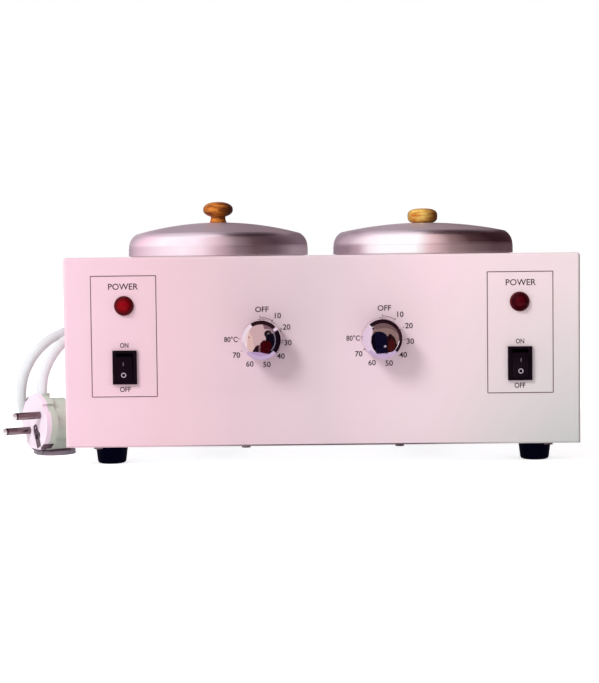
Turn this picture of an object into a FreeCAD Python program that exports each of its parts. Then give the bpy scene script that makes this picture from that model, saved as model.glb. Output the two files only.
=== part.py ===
import FreeCAD, Part
import math
import os
import re

import Sketcher
from FreeCAD import Placement, Rotation, Vector

# Double-pot wax warmer. Millimetres, +X right, +Y to the back, +Z up. The origin lies on the surface that
# the feet stand on, under the middle of the object's outer box.

doc = FreeCAD.newDocument("WaxWarmer")

# ---------------------------------------------------------------- driving sizes
SIZES = [
    ("housing_width", 320, "across the front panel"),
    ("housing_depth", 175, "front panel to rear panel"),
    ("housing_height", 118, "bottom edge to top face"),
    ("steel", 1.2, "housing and base sheet"),
    ("bend_radius", 2, "outside of the housing's folds"),
    ("lip_width", 12, "inward flange that takes the base screws"),
    ("base_gap", 0.4, "base plate to housing walls"),
    ("foot_height", 12, "surface to base plate"),
    ("foot_radius", 10.3, "foot at the base plate"),
    ("foot_taper", 1.5, "how much slimmer a foot is at its tip"),
    ("foot_screw", 2, "radius of a foot's screw"),
    ("foot_bore", 4.6, "recess under a foot for its screw's head"),
    ("foot_recess", 5.5, "depth of that recess"),
    ("foot_inset_x", 26, "foot centre to side panel"),
    ("foot_inset_y", 21, "foot centre to front or rear panel"),
    ("well_spacing", 137.2, "between the two well centres"),
    ("well_radius", 55, "inside of a heating well"),
    ("well_depth", 72, "flange top to well floor"),
    ("well_sheet", 1, "heating well wall"),
    ("well_flange", 3, "how far the flange stands out from the bore"),
    ("hole_gap", 0.4, "round a piece in a sheet cut-out"),
    ("hair", 0.05, "between pieces that fit tightly"),
    ("through", 5, "how far a hole's tool runs past its sheet"),
    ("vent_x", 40, "middle of a group of vent slots on the rear panel"),
    ("vent_drop", 24, "top vent slot's lower edge below the top face"),
    ("vent_pitch", 8, "between vent slots on the rear panel"),
    ("vent_length", 30, "vent slot"),
    ("vent_width", 3, "vent slot"),
    ("sheet_fit", 0.2, "round a screw or a bush in a sheet's hole"),
    ("seat_gap", 0.3, "between pieces that only rest on each other"),
    ("pot_gap", 1, "pot wall to well wall"),
    ("pot_sheet", 1, "pot wall"),
    ("corner_radius", 6, "rounding between wall and floor of a well or pot"),
    ("rim_width", 4.5, "rolled rim, out from the pot wall"),
    ("rim_height", 4.8, "rolled rim"),
    ("lid_overhang", 5, "outside of the lid's band beyond the well's bore"),
    ("lid_sheet", 1.2, "spun aluminium of the lid"),
    ("rim_edge", 0.5, "rounding of the rim's upper outer edge, on which the lid rests"),
    ("lid_step", 0.8, "how far the lid draws in above its band"),
    ("lid_clear", 0.8, "lid's edge above the housing"),
    ("lid_side", 6.8, "from the step to the shoulder's corner"),
    ("lid_shoulder", 8.2, "rounding between side and dome"),
    ("left_rise", 9, "crown of the left lid's dome above its shoulder's corner"),
    ("right_rise", 7.3, "crown of the right lid's dome above its shoulder's corner"),
    ("ball_radius", 10, "wooden knob"),
    ("ball_height", 10, "wooden knob without its neck"),
    ("neck_radius", 5.4, "wooden knob's neck"),
    ("left_neck", 3.5, "neck height on the left lid"),
    ("right_neck", 0.2, "neck height on the right lid"),
    ("ball_crown", 0.3, "how much the knob's top swells"),
    ("screw_grip", 3.5, "lid's screw in the wooden knob beyond its neck"),
    ("screw_room", 5, "depth of its hole beyond the neck"),
    ("lid_screw", 2, "radius of the screw that holds a wooden knob"),
    ("lid_screw_head", 3.6, "radius of that screw's head"),
    ("head_height", 1.6, "heads of the small screws"),
    ("small_head", 2.8, "radius of the base plate screws' heads"),
    ("panel_side", 37.6, "switch and lamp to the side panel"),
    ("lamp_drop", 30, "lamp below the top face"),
    ("switch_drop", 68.2, "switch below the top face"),
    ("dial_x", 37.1, "dial to the middle of the front"),
    ("dial_drop", 51.5, "dial below the top face"),
    ("knob_skirt", 12.8, "dial knob radius at the panel"),
    ("skirt_height", 2.4, "full width of that skirt"),
    ("knob_radius", 12.1, "dial knob radius below its sloping ring"),
    ("knob_taper", 0.3, "how much wider a dial knob is above its skirt"),
    ("knob_edge", 0.8, "rounding outside that ring"),
    ("knob_slope", 2, "height of that ring"),
    ("knob_disc", 9.9, "radius of the front inside that ring"),
    ("knob_rise", 1.2, "how far a dial knob's front swells"),
    ("knob_hollow", 10, "radius of the hollow in a dial knob's back"),
    ("knob_recess", 5, "depth of that hollow"),
    ("knob_cap", 4, "dial knob's front beyond its shaft"),
    ("knob_reach", 19.5, "dial knob's front above the panel"),
    ("knob_gap", 0.6, "dial knob to panel"),
    ("shaft_radius", 3, "dial shaft"),
    ("running_gap", 0.06, "shaft or pivot in its bore"),
    ("bush_radius", 5, "threaded bush of the thermostat"),
    ("bush_reach", 4.5, "that bush in front of the panel"),
    ("bush_nut_across", 15, "nut on that bush across its flats"),
    ("bush_nut", 2.5, "nut on that bush"),
    ("shaft_inside", 12, "dial shaft behind the panel's sheet"),
    ("shaft_end_gap", 0.6, "behind the shaft's inner end"),
    ("stat_width", 37, "thermostat across"),
    ("stat_depth", 24, "thermostat behind the panel"),
    ("stat_height", 44, "thermostat"),
    ("tag_width", 6.3, "push-on tags of the thermostats and cut-outs"),
    ("tag_length", 7, "those tags"),
    ("tag_shift", 9, "thermostat's tags to its middle"),
    ("tag_drop", 14, "thermostat's tags below its shaft"),
    ("blade_sheet", 0.8, "all tags and blades"),
    ("lamp_radius", 6.1, "lamp bezel"),
    ("lamp_barrel", 4.9, "lamp barrel radius"),
    ("lamp_length", 22, "lamp barrel behind the panel"),
    ("lamp_edge", 0.9, "slope round the bezel's front"),
    ("lamp_floor", 3, "closed end of the lamp barrel"),
    ("ring_radius", 8, "push-on ring that holds a lamp"),
    ("ring_height", 3, "that ring"),
    ("lens_radius", 5.1, "lens in front of the bezel"),
    ("lens_neck", 4.3, "lens inside the lamp barrel"),
    ("lens_barrel", 8, "lens behind the panel's face"),
    ("lens_edge", 0.5, "lens rim before its dome"),
    ("lens_rise", 2.4, "lens dome"),
    ("switch_width", 15, "switch bezel across"),
    ("switch_height", 21, "switch bezel"),
    ("switch_depth", 13, "switch barrel behind the panel"),
    ("bezel_proud", 2, "switch bezel in front of the panel"),
    ("bezel_edge", 1.1, "switch bezel beyond its barrel"),
    ("throat_depth", 12, "hollow for the rocker in the switch body"),
    ("throat_room", 1.1, "above and below the rocker in that hollow"),
    ("pivot_wall", 0.4, "switch body beyond the pivot's hole"),
    ("pivot_end_gap", 0.2, "at each end of the pivot"),
    ("rocker_width", 10, "rocker across"),
    ("rocker_half", 7.9, "rocker's end to its pivot"),
    ("rocker_front", 4.6, "rocker's face in front of its pivot, in the middle"),
    ("rocker_rise", 0.9, "its two ends in front of that"),
    ("rocker_back", 1.2, "where the back of a rocker's ends lies behind the pivot"),
    ("rocker_heel", 2.4, "back of the rocker behind the pivot, in the middle"),
    ("rocker_slope", 3.6, "how much shorter the rocker is at its back"),
    ("rocker_angle", 10, "rocker to either side of level, in degrees"),
    ("pivot_depth", 1.5, "rocker pivot behind the panel's face"),
    ("pivot_radius", 1, "rocker pivot pins"),
    ("band_height", 30, "band heater"),
    ("band_lift", 4, "band heater above the well's underside"),
    ("band_sheet", 1.6, "band heater"),
    ("band_gap", 0.2, "well to band heater and sensor bulb"),
    ("ear_reach", 14, "band heater's ears, outwards"),
    ("ear_half", 3, "ears to the middle of the gap between them"),
    ("ear_root", 0.6, "how deep the ears sit in the band"),
    ("ear_inset", 5, "ears inside the band's edges"),
    ("clamp_reach", 8, "clamp bolt outwards of the band"),
    ("clamp_bolt", 2, "radius of the clamp bolt"),
    ("clamp_spare", 3, "end of the clamp bolt beyond its nut"),
    ("stud_radius", 3, "stud under a well"),
    ("stud_spare", 1.5, "end of the stud below its nut"),
    ("stud_nut", 5, "nuts on the stud"),
    ("stud_nut_across", 10, "nuts on the stud across their flats"),
    ("cutout_shift", 30, "thermal cut-out to the middle of its well"),
    ("cutout_cap", 8, "radius of its metal cap"),
    ("cutout_cap_height", 3, "that cap"),
    ("cutout_flange", 12, "radius of its flange"),
    ("cutout_flange_sheet", 1.2, "that flange"),
    ("cutout_radius", 7.5, "its case"),
    ("cutout_height", 10, "its case below the cap"),
    ("cutout_tag_shift", 5, "its tags to its middle"),
    ("screw_radius", 1.5, "base plate screws"),
    ("cord_radius", 3.4, "mains cord"),
    ("gland_x", -106, "cord outlet"),
    ("gland_z", 100, "cord outlet"),
    ("gland_radius", 6.5, "strain relief at the panel"),
    ("gland_length", 32, "strain relief behind the panel"),
    ("gland_inside", 9, "strain relief inside the panel"),
    ("gland_wall", 1.1, "strain relief round the cord at its thin end"),
    ("gland_brim", 3, "strain relief's brim beyond its sleeve"),
    ("gland_brim_thick", 2.5, "that brim"),
    ("cord_gap", 0.05, "cord in its strain relief and in the plug"),
    ("wire_radius", 1.1, "wires inside"),
    ("block_width", 50, "terminal block"),
    ("block_depth", 16, "terminal block"),
    ("block_height", 14, "terminal block"),
    ("block_fixing", 21, "terminal block's screws to its middle"),
    ("block_side", 60, "middle of the terminal block to the left side panel"),
    ("block_inset", 25.5, "middle of the terminal block to the rear panel"),
    ("way_pitch", 12, "between the terminal block's ways"),
    ("way_bore", 2.5, "wire hole through the terminal block"),
    ("clamp_radius", 2.5, "terminal block's clamping screws"),
    ("earth_radius", 2, "earth screw"),
    ("earth_side", 6, "earth screw outwards of the left rear foot's middle"),
    ("earth_inset", 16.5, "earth screw forward of the left rear foot's middle"),
    ("earth_length", 12, "earth screw"),
    ("earth_ring", 2.4, "ring tag round the earth screw"),
    ("nut_across", 7, "small nuts across their flats"),
    ("nut_height", 3, "small nuts"),
    ("tag_sheet", 1, "ring tag and terminal tags"),
    ("bulb_radius", 3, "sensor bulb"),
    ("bulb_length", 28, "sensor bulb"),
    ("bulb_lift", 2, "sensor bulb above the band heater"),
    ("bulb_drop", 6, "capillary's run below the bulb"),
    ("capillary_radius", 0.8, "capillary between bulb and thermostat"),
    ("capillary_root", 0.5, "how far it sits in the bulb"),
    ("blade_length", 7.6, "switch blade"),
    ("blade_width", 4.8, "switch blade"),
    ("blade_shift", 5.1, "switch blade to the middle of the switch"),
    ("coil_x", -92, "middle of the put-away coil"),
    ("coil_y", 162, "middle of the put-away coil"),
    ("coil_radius", 35, "middle of the coil's turns"),
    ("tie_width", 8, "strap round the coil"),
    ("plug_x", -191, "middle of the plug's face"),
    ("plug_y", -12, "middle of the plug's face"),
    ("plug_turn", 36, "plug's pins forward of straight left, in degrees"),
    ("plug_radius", 18.6, "plug's face"),
    ("plug_base", 2.6, "grip plate that the plug stands on"),
    ("pin_radius", 2.4, "plug pin"),
    ("pin_length", 19, "plug pin"),
    ("pin_root", 4, "plug pin inside the plug"),
    ("pin_shoulder", 0.6, "how much slimmer a pin is inside the plug"),
    ("pin_spacing", 19, "between the two pins"),
    ("pin_turn", 36, "line of the pins to level, in degrees"),
    ("neck_place", 5.5, "plug's neck behind its face"),
    ("cord_in_plug", 7.2, "cord's end below the top of the plug's neck"),
]

# ---------------------------------------------------------------- places that follow from the sizes
PLACES = [
    ("middle_y", "knob_reach / 2", "middle of the housing"),
    ("front_y", "middle_y - housing_depth / 2", "front panel's face"),
    ("rear_y", "middle_y + housing_depth / 2", "rear panel's face"),
    ("top_z", "foot_height + housing_height", "top face"),
    ("flange_z", "top_z + well_sheet", "top of a well's flange"),
    ("well_floor_z", "flange_z - well_depth", "inside floor of a well"),
    ("well_outside", "well_radius + well_sheet", "outside radius of a well"),
    ("pot_radius", "well_radius - pot_gap", "outside radius of a pot"),
    ("pot_floor_z", "well_floor_z + seat_gap", "underside of a pot"),
    ("rim_z", "flange_z + seat_gap", "underside of a pot's rim"),
    ("lid_radius", "well_radius + lid_overhang", "outside of the lid's band"),
    ("lid_low_z", "top_z + lid_clear", "edge of a lid"),
    ("lid_seat_z", "rim_z + rim_height", "underside of a lid's step"),
    ("lid_step_z", "lid_seat_z + lid_sheet", "top of a lid's step"),
    ("lid_corner_z", "lid_step_z + lid_side", "shoulder's corner"),
    ("left_crown_z", "lid_corner_z + left_rise", "crown of the left lid"),
    ("right_crown_z", "lid_corner_z + right_rise", "crown of the right lid"),
    ("lid_upper", "lid_radius - lid_step", "outside radius above the step"),
    ("left_dome", "(lid_upper * lid_upper + left_rise * left_rise) / (2 * left_rise)", "its sphere"),
    ("right_dome", "(lid_upper * lid_upper + right_rise * right_rise) / (2 * right_rise)", "its sphere"),
    ("panel_x", "housing_width / 2 - panel_side", "switches and lamps to the middle"),
    ("lamp_z", "top_z - lamp_drop", "lamps"),
    ("switch_z", "top_z - switch_drop", "switches"),
    ("dial_z", "top_z - dial_drop", "dials"),
    ("plate_z", "foot_height + steel", "top of the base plate"),
    ("way_z", "plate_z + way_bore + 2.5", "wires in the terminal block"),
    ("plug_z", "plug_base + plug_radius + 0.3", "middle of the plug's face"),
]

NAMES = {name: "Sizes." + name for name, _, _ in SIZES}
NAMES.update({name: "Places." + name for name, _, _ in PLACES})


def cells(text):
    """The expression with each size's name written as its spreadsheet cell."""
    return re.sub(r"[a-z][a-z_]+", lambda found: NAMES.get(found.group(), found.group()), str(text))


def fill(sheet, rows, lead):
    """Writes name, content and note of each row, and names the content's cell."""
    for number, (name, content, note) in enumerate(rows, start=1):
        sheet.set(f"A{number}", name)
        sheet.set(f"B{number}", lead + (cells(content) if lead else str(content)))
        sheet.setAlias(f"B{number}", name)
        sheet.set(f"C{number}", note)


sizes = doc.addObject("Spreadsheet::Sheet", "Sizes")
places = doc.addObject("Spreadsheet::Sheet", "Places")
fill(sizes, SIZES, "")
fill(places, PLACES, "=")
doc.recompute()

pieces = []  # the finished sub-parts


def value(text):
    """The number that an expression of sizes stands for now."""
    number = sizes.evalExpression(cells(text))
    return float(getattr(number, "Value", number))


def bind(item, **texts):
    """Ties properties to expressions; two underscores in a name stand for a dot."""
    for name, text in texts.items():
        item.setExpression(name.replace("__", "."), cells(text))
    return item


def place(item, x=0, y=0, z=0, axis=(0, 0, 1), turn=0):
    """Puts an item at a bound place, turned by fixed degrees about an axis."""
    item.Placement = Placement(Vector(0, 0, 0), Rotation(Vector(*axis), turn))
    return bind(item, Placement__Base__x=x, Placement__Base__y=y, Placement__Base__z=z)


def piece(item, label):
    """Marks an item as a finished sub-part."""
    item.Label = label
    pieces.append(item)
    return item


# ---------------------------------------------------------------- solids from primitives
def block(x, y, z, wide, deep, tall):
    """A box centred on x and y that stands on z."""
    item = bind(doc.addObject("Part::Box", "Block"), Length=wide, Width=deep, Height=tall)
    return place(item, f"({x}) - ({wide}) / 2", f"({y}) - ({deep}) / 2", z)


TURNS = {"up": ((0, 0, 1), 0), "back": ((1, 0, 0), -90), "front": ((1, 0, 0), 90), "right": ((0, 1, 0), 90)}


def rod(x, y, z, radius, length, way="up"):
    """A cylinder that starts at a point and runs one way."""
    item = bind(doc.addObject("Part::Cylinder", "Rod"), Radius=radius, Height=length)
    return place(item, x, y, z, *TURNS[way])


def hexagon(x, y, z, across, thick, way="up"):
    """A nut or a bolt head; across is the width across its flats."""
    item = doc.addObject("Part::Prism", "Hexagon")
    item.Polygon = 6
    bind(item, Circumradius=f"({across}) / 1.732", Height=thick)
    return place(item, x, y, z, *TURNS[way])


def cut(base, *tools):
    """The base without the tools."""
    item = doc.addObject("Part::Cut", "Cut")
    item.Base = base
    item.Tool = tools[0] if len(tools) == 1 else fuse(*tools)
    return item


def fuse(*items):
    """One solid of several."""
    item = doc.addObject("Part::MultiFuse", "Joined")
    item.Shapes = list(items)
    return item


def group(*items):
    """Separate solids kept in one sub-part."""
    item = doc.addObject("Part::Compound", "Group")
    item.Links = list(items)
    return item


def screw(x, y, z, radius, length, head_radius, head_height, way="up"):
    """A pan-head screw whose head starts at the point and whose shank runs on from it."""
    dx, dy, dz = {"up": (0, 0, 1), "back": (0, 1, 0), "front": (0, -1, 0)}[way]
    head = rod(x, y, z, head_radius, head_height, way)
    shank_start = [f"({at}) + ({step}) * ({head_height})" for at, step in zip((x, y, z), (dx, dy, dz))]
    return fuse(head, rod(*shank_start, radius, length, way))


# ---------------------------------------------------------------- bodies from sketches
def new_sketch(body, role):
    """A sketch on one of the body's own planes."""
    sketch = body.newObject("Sketcher::SketchObject", "Sketch")
    plane = next(o for o in body.Origin.OriginFeatures if o.Role == role)
    sketch.AttachmentSupport = [(plane, "")]
    sketch.MapMode = "FlatFace"
    return sketch


def tie(sketch, kind, where, text):
    """A dimension of the sketch that follows an expression."""
    number = value(text)
    index = sketch.addConstraint(Sketcher.Constraint(kind, *where, number))
    sketch.setExpression(f"Constraints[{index}]", cells(text))


def draw_outline(sketch, points, arcs):
    """Draws a closed outline through points, each two expressions. arcs gives, by the number of the
    point that a segment starts from, the radius of its arc and the side it bulges to: 1 right, -1 left."""
    spots = [Vector(value(x), value(y), 0) for x, y in points]
    ends = []
    for number, start in enumerate(spots):
        stop = spots[(number + 1) % len(spots)]
        if number not in arcs:
            sketch.addGeometry(Part.LineSegment(start, stop))
            ends.append((1, 2))
            continue
        radius, side = value(arcs[number][0]), arcs[number][1]
        run = stop - start
        to_side = Vector(run.y, -run.x, 0).normalize() * side
        rise = radius - math.sqrt(radius**2 - (run.Length / 2) ** 2)
        arc = Part.ArcOfCircle(start, (start + stop) / 2 + to_side * rise, stop)
        sketch.addGeometry(arc)
        forward = (sketch.getPoint(number, 1) - start).Length < (sketch.getPoint(number, 2) - start).Length
        ends.append((1, 2) if forward else (2, 1))
    for number in range(len(spots)):
        after = (number + 1) % len(spots)
        sketch.addConstraint(
            Sketcher.Constraint("Coincident", number, ends[number][1], after, ends[after][0])
        )
    for number, (x, y) in enumerate(points):
        first = ends[number][0]
        if x == "0":
            sketch.addConstraint(Sketcher.Constraint("PointOnObject", number, first, -2))
        else:
            tie(sketch, "DistanceX", (-1, 1, number, first), x)
        if y == "0":
            sketch.addConstraint(Sketcher.Constraint("PointOnObject", number, first, -1))
        else:
            tie(sketch, "DistanceY", (-1, 1, number, first), y)
        if number in arcs:
            tie(sketch, "Radius", (number,), arcs[number][0])


def turned(label, points, x=0, y=0, z=0, axis=(0, 0, 1), turn=0, arcs=None, rounds=()):
    """A body turned about its own upright axis from an outline of (radius, height) points. rounds lists
    (radius, height, rounding) of the circular edges to round."""
    body = doc.addObject("PartDesign::Body", "Body")
    sketch = new_sketch(body, "XZ_Plane")
    draw_outline(sketch, points, arcs or {})
    solid = body.newObject("PartDesign::Revolution", "Revolution")
    solid.Profile = sketch
    solid.ReferenceAxis = (sketch, ["V_Axis"])
    solid.Angle = 360
    doc.recompute()
    for at_radius, at_height, rounding in rounds:
        round_rings(body, at_radius, at_height, rounding)
    place(body, x, y, z, axis, turn)
    return piece(body, label) if label else body


def round_rings(body, at_radius, at_height, rounding):
    """Rounds a body's circular edge of that radius at that height."""
    doc.recompute()
    base = body.Tip
    wanted = value(at_radius), value(at_height)
    names = []
    for number, edge in enumerate(base.Shape.Edges, start=1):
        if not edge.Degenerated and isinstance(edge.Curve, Part.Circle):
            found = edge.Curve.Radius, edge.Curve.Center.z
            if math.dist(found, wanted) < 0.01:
                names.append(f"Edge{number}")
    if not names:
        raise RuntimeError(f"{body.Label}: no ring at radius {wanted[0]:.2f} and height {wanted[1]:.2f}")
    ring = body.newObject("PartDesign::Fillet", "Fillet")
    ring.Base = (base, names)
    bind(ring, Radius=rounding)
    doc.recompute()


def padded_body(points, low, high, role="XY_Plane"):
    """A body with one outline of points, raised from one height to another."""
    body = doc.addObject("PartDesign::Body", "Body")
    sketch = new_sketch(body, role)
    draw_outline(sketch, points, {})
    bind(sketch, AttachmentOffset__Base__z=low)
    pad = body.newObject("PartDesign::Pad", "Pad")
    pad.Profile = sketch
    bind(pad, Length=f"({high}) - ({low})")
    doc.recompute()
    return body


def rectangle(wide, deep, y="0"):
    """The corners of a rectangle centred on x 0 and on y."""
    return [
        (f"-({wide}) / 2", f"({y}) - ({deep}) / 2"),
        (f"({wide}) / 2", f"({y}) - ({deep}) / 2"),
        (f"({wide}) / 2", f"({y}) + ({deep}) / 2"),
        (f"-({wide}) / 2", f"({y}) + ({deep}) / 2"),
    ]


def pocket(body, points, low, depth):
    """Cuts an outline out of a body, from a height upwards."""
    sketch = new_sketch(body, "XY_Plane")
    draw_outline(sketch, points, {})
    bind(sketch, AttachmentOffset__Base__z=low)
    hollow = body.newObject("PartDesign::Pocket", "Pocket")
    hollow.Profile = sketch
    hollow.Reversed = True
    bind(hollow, Length=depth)
    before = body.Tip.BaseFeature.Shape.Volume if body.Tip.BaseFeature else 0
    doc.recompute()
    if before and body.Shape.Volume >= before:
        raise RuntimeError("a pocket cuts nothing")


# ---------------------------------------------------------------- housing
SIDES = {"left": "-1", "right": "1"}
ENDS = {"front": "-1", "rear": "1"}
base_screw_x = ["-0.44", "-0.15", "0.15", "0.44"]  # shares of the housing's width
lip_y = "(housing_depth / 2 - steel - lip_width / 2)"  # screw line on the front and rear lips


def make_housing_shell():
    """Folded sheet: top and four walls, with an inward lip at the bottom for the base plate."""
    body = padded_body(rectangle("housing_width", "housing_depth", "middle_y"), "foot_height", "top_z")
    folds = body.newObject("PartDesign::Fillet", "Folds")
    pad = next(o for o in body.Group if o.TypeId == "PartDesign::Pad")
    names = []
    for number, edge in enumerate(pad.Shape.Edges, start=1):
        if edge.BoundBox.ZMax > value("foot_height") + 1:
            names.append(f"Edge{number}")
    folds.Base = (pad, names)
    bind(folds, Radius="bend_radius")
    doc.recompute()
    inside = rectangle("housing_width - 2 * steel", "housing_depth - 2 * steel", "middle_y")
    pocket(body, inside, "foot_height", "housing_height - steel")
    lip = cut(
        block(0, "middle_y", "plate_z", "housing_width - 2 * steel", "housing_depth - 2 * steel", "steel"),
        block(
            0,
            "middle_y",
            "plate_z - 1",
            "housing_width - 2 * steel - 2 * lip_width",
            "housing_depth - 2 * steel - 2 * lip_width",
            "steel + 2",
        ),
    )
    holes = []
    for side in SIDES.values():
        well_x = f"{side} * well_spacing / 2"
        holes.append(rod(well_x, "middle_y", "top_z - through", "well_outside + hole_gap", "2 * through"))
        dial = f"{side} * dial_x", "front_y - through", "dial_z"
        holes.append(rod(*dial, "bush_radius + sheet_fit", "2 * through", "back"))
        lamp = f"{side} * panel_x", "front_y - through", "lamp_z"
        holes.append(rod(*lamp, "lamp_barrel + sheet_fit", "2 * through", "back"))
        holes.append(
            block(
                f"{side} * panel_x",
                "front_y",
                "switch_z - switch_height / 2 + bezel_edge - sheet_fit / 2",
                "switch_width - 2 * bezel_edge + sheet_fit",
                "2 * through",
                "switch_height - 2 * bezel_edge + sheet_fit",
            )
        )
    holes.append(rod("gland_x", "rear_y - through", "gland_z", "gland_radius + hair", "2 * through", "back"))
    for end in ENDS.values():
        for share in base_screw_x:
            holes.append(
                rod(
                    f"{share} * housing_width",
                    f"middle_y + {end} * {lip_y}",
                    "plate_z - through",
                    "screw_radius + hair",
                    "2 * through",
                )
            )
    for row in range(4):  # slots high on the rear panel, where warm air leaves
        for side in SIDES.values():
            low = f"top_z - vent_drop - {row} * vent_pitch"
            slot = block(f"{side} * vent_x", "rear_y", low, "vent_length", "2 * through", "vent_width")
            holes.append(slot)
    piece(cut(fuse(body, lip), *holes), "housing_shell")


def make_base():
    """Base plate with vent slots, held to the shell's lips by screws."""
    wide = "housing_width - 2 * steel - 2 * base_gap"
    deep = "housing_depth - 2 * steel - 2 * base_gap"
    holes = []
    screws = []
    for end in ENDS.values():
        for share in base_screw_x:
            x = f"{share} * housing_width"
            y = f"middle_y + {end} * {lip_y}"
            holes.append(rod(x, y, "foot_height - through", "screw_radius + sheet_fit", "2 * through"))
            head = "head_height"
            start = f"foot_height - {head}"
            screws.append(screw(x, y, start, "screw_radius", "2 * steel + 3.6", "small_head", head))
    low, tall = "foot_height - through", "2 * through"
    holes.append(rod(EARTH_X, EARTH_Y, low, "earth_radius + sheet_fit", tall))
    for side in SIDES.values():
        x = f"{side} * well_spacing / 2"
        holes.append(rod(x, "middle_y", low, "stud_radius + sheet_fit", tall))
        for row in (-4, -3, -2, -1, 1, 2, 3, 4):
            y = f"middle_y + {row} * (vent_pitch + vent_width)"
            holes.append(block(x, y, low, "vent_length", "vent_width", tall))
        for end in ENDS.values():
            holes.append(rod(*foot_place(side, end), low, "foot_screw + sheet_fit", tall))
        x = f"{BLOCK_X} + {side} * block_fixing"
        holes.append(rod(x, BLOCK_Y, low, "screw_radius + sheet_fit", tall))
    plate = block(0, "middle_y", "foot_height", wide, deep, "steel")
    piece(cut(plate, *holes), "base_plate")
    piece(group(*screws), "base_screws")


def foot_place(side, end):
    """Centre of the foot at one side and end."""
    return (
        f"{side} * (housing_width / 2 - foot_inset_x)",
        f"middle_y + {end} * (housing_depth / 2 - foot_inset_y)",
    )


def make_feet():
    """Tapered rubber feet, each with a screw in its recess."""
    screws = []
    for end_name, end in ENDS.items():
        for side_name, side in SIDES.items():
            x, y = foot_place(side, end)
            tip = "foot_radius - foot_taper"
            points = [
                ("foot_screw + hole_gap", "foot_height"),
                ("foot_screw + hole_gap", "foot_recess"),
                ("foot_bore", "foot_recess"),
                ("foot_bore", "0"),
                (tip, "0"),
                ("foot_radius", "foot_height"),
            ]
            turned(f"{end_name}_{side_name}_foot", points, x, y, rounds=[(tip, 0, 2)])
            low, head = "foot_recess - head_height - hair", "head_height"
            screws.append(screw(x, y, low, "foot_screw", "foot_height + 1", "foot_bore - 0.6", head))
            thread = rod(x, y, "foot_height", "foot_screw + hair", "2 * through")
            screws.append(cut(hexagon(x, y, "plate_z", "nut_across", "nut_height"), thread))
    piece(group(*screws), "foot_screws")


# ---------------------------------------------------------------- wells, pots and lids
def make_well(name, side):
    """Drawn aluminium well that hangs by its flange in the top."""
    x = f"{side} * well_spacing / 2"
    points = [
        ("0", "well_floor_z"),
        ("well_radius", "well_floor_z"),
        ("well_radius", "flange_z"),
        ("well_radius + well_flange", "flange_z"),
        ("well_radius + well_flange", "top_z"),
        ("well_outside", "top_z"),
        ("well_outside", "well_floor_z - well_sheet"),
        ("0", "well_floor_z - well_sheet"),
    ]
    rounds = [
        ("well_radius", "well_floor_z", "corner_radius"),
        ("well_outside", "well_floor_z - well_sheet", "corner_radius + well_sheet"),
        ("well_radius", "flange_z", "well_sheet * 0.6"),
    ]
    turned(f"{name}_heating_well", points, x, "middle_y", rounds=rounds)


def make_pot(name, side):
    """Removable wax pot with a rolled rim that hangs just over the well's flange."""
    x = f"{side} * well_spacing / 2"
    inside = "pot_radius - pot_sheet"
    outside = "pot_radius + rim_width"
    points = [
        ("0", "pot_floor_z"),
        ("pot_radius", "pot_floor_z"),
        ("pot_radius", "rim_z"),
        (outside, "rim_z"),
        (outside, "rim_z + rim_height"),
        (inside, "rim_z + rim_height"),
        (inside, "pot_floor_z + pot_sheet"),
        ("0", "pot_floor_z + pot_sheet"),
    ]
    rounds = [
        ("pot_radius", "pot_floor_z", "corner_radius"),
        (inside, "pot_floor_z + pot_sheet", "corner_radius - pot_sheet"),
        (outside, "rim_z", "rim_height / 2 - 0.1"),
        (outside, "rim_z + rim_height", "rim_edge"),
        (inside, "rim_z + rim_height", "rim_height / 2 - 0.1"),
    ]
    turned(f"{name}_pot", points, x, "middle_y", rounds=rounds)


def dome(name, radius, inset):
    """Height of a lid's dome at a radius, or of its underside with inset as the sheet."""
    sphere = f"({name}_dome - {inset})"
    return f"{name}_crown_z - {name}_dome + sqrt({sphere} * {sphere} - ({radius}) * ({radius}))"


def make_lid(name, side):
    """Spun lid: a band round the pot's rim, a step that rests on it, a rounded shoulder and a dome."""
    x = f"{side} * well_spacing / 2"
    inner = "lid_upper - lid_sheet"
    band = "lid_radius - lid_sheet"
    hole = "lid_screw + sheet_fit"
    points = [
        (band, "lid_low_z"),
        ("lid_radius", "lid_low_z"),
        ("lid_radius", "lid_step_z"),
        ("lid_upper", "lid_step_z"),
        ("lid_upper", "lid_corner_z"),
        (hole, dome(name, hole, 0)),
        (hole, dome(name, hole, "lid_sheet")),
        (inner, dome(name, inner, "lid_sheet")),
        (inner, "lid_seat_z"),
        (band, "lid_seat_z"),
    ]
    rounds = [
        ("lid_upper", "lid_corner_z", "lid_shoulder"),
        (inner, dome(name, inner, "lid_sheet"), "lid_shoulder - lid_sheet"),
        ("lid_radius", "lid_step_z", "lid_step / 2"),
    ]
    arcs = {4: (f"{name}_dome", 1), 6: (f"{name}_dome - lid_sheet", -1)}
    turned(f"{name}_lid", points, x, "middle_y", arcs=arcs, rounds=rounds)


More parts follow.
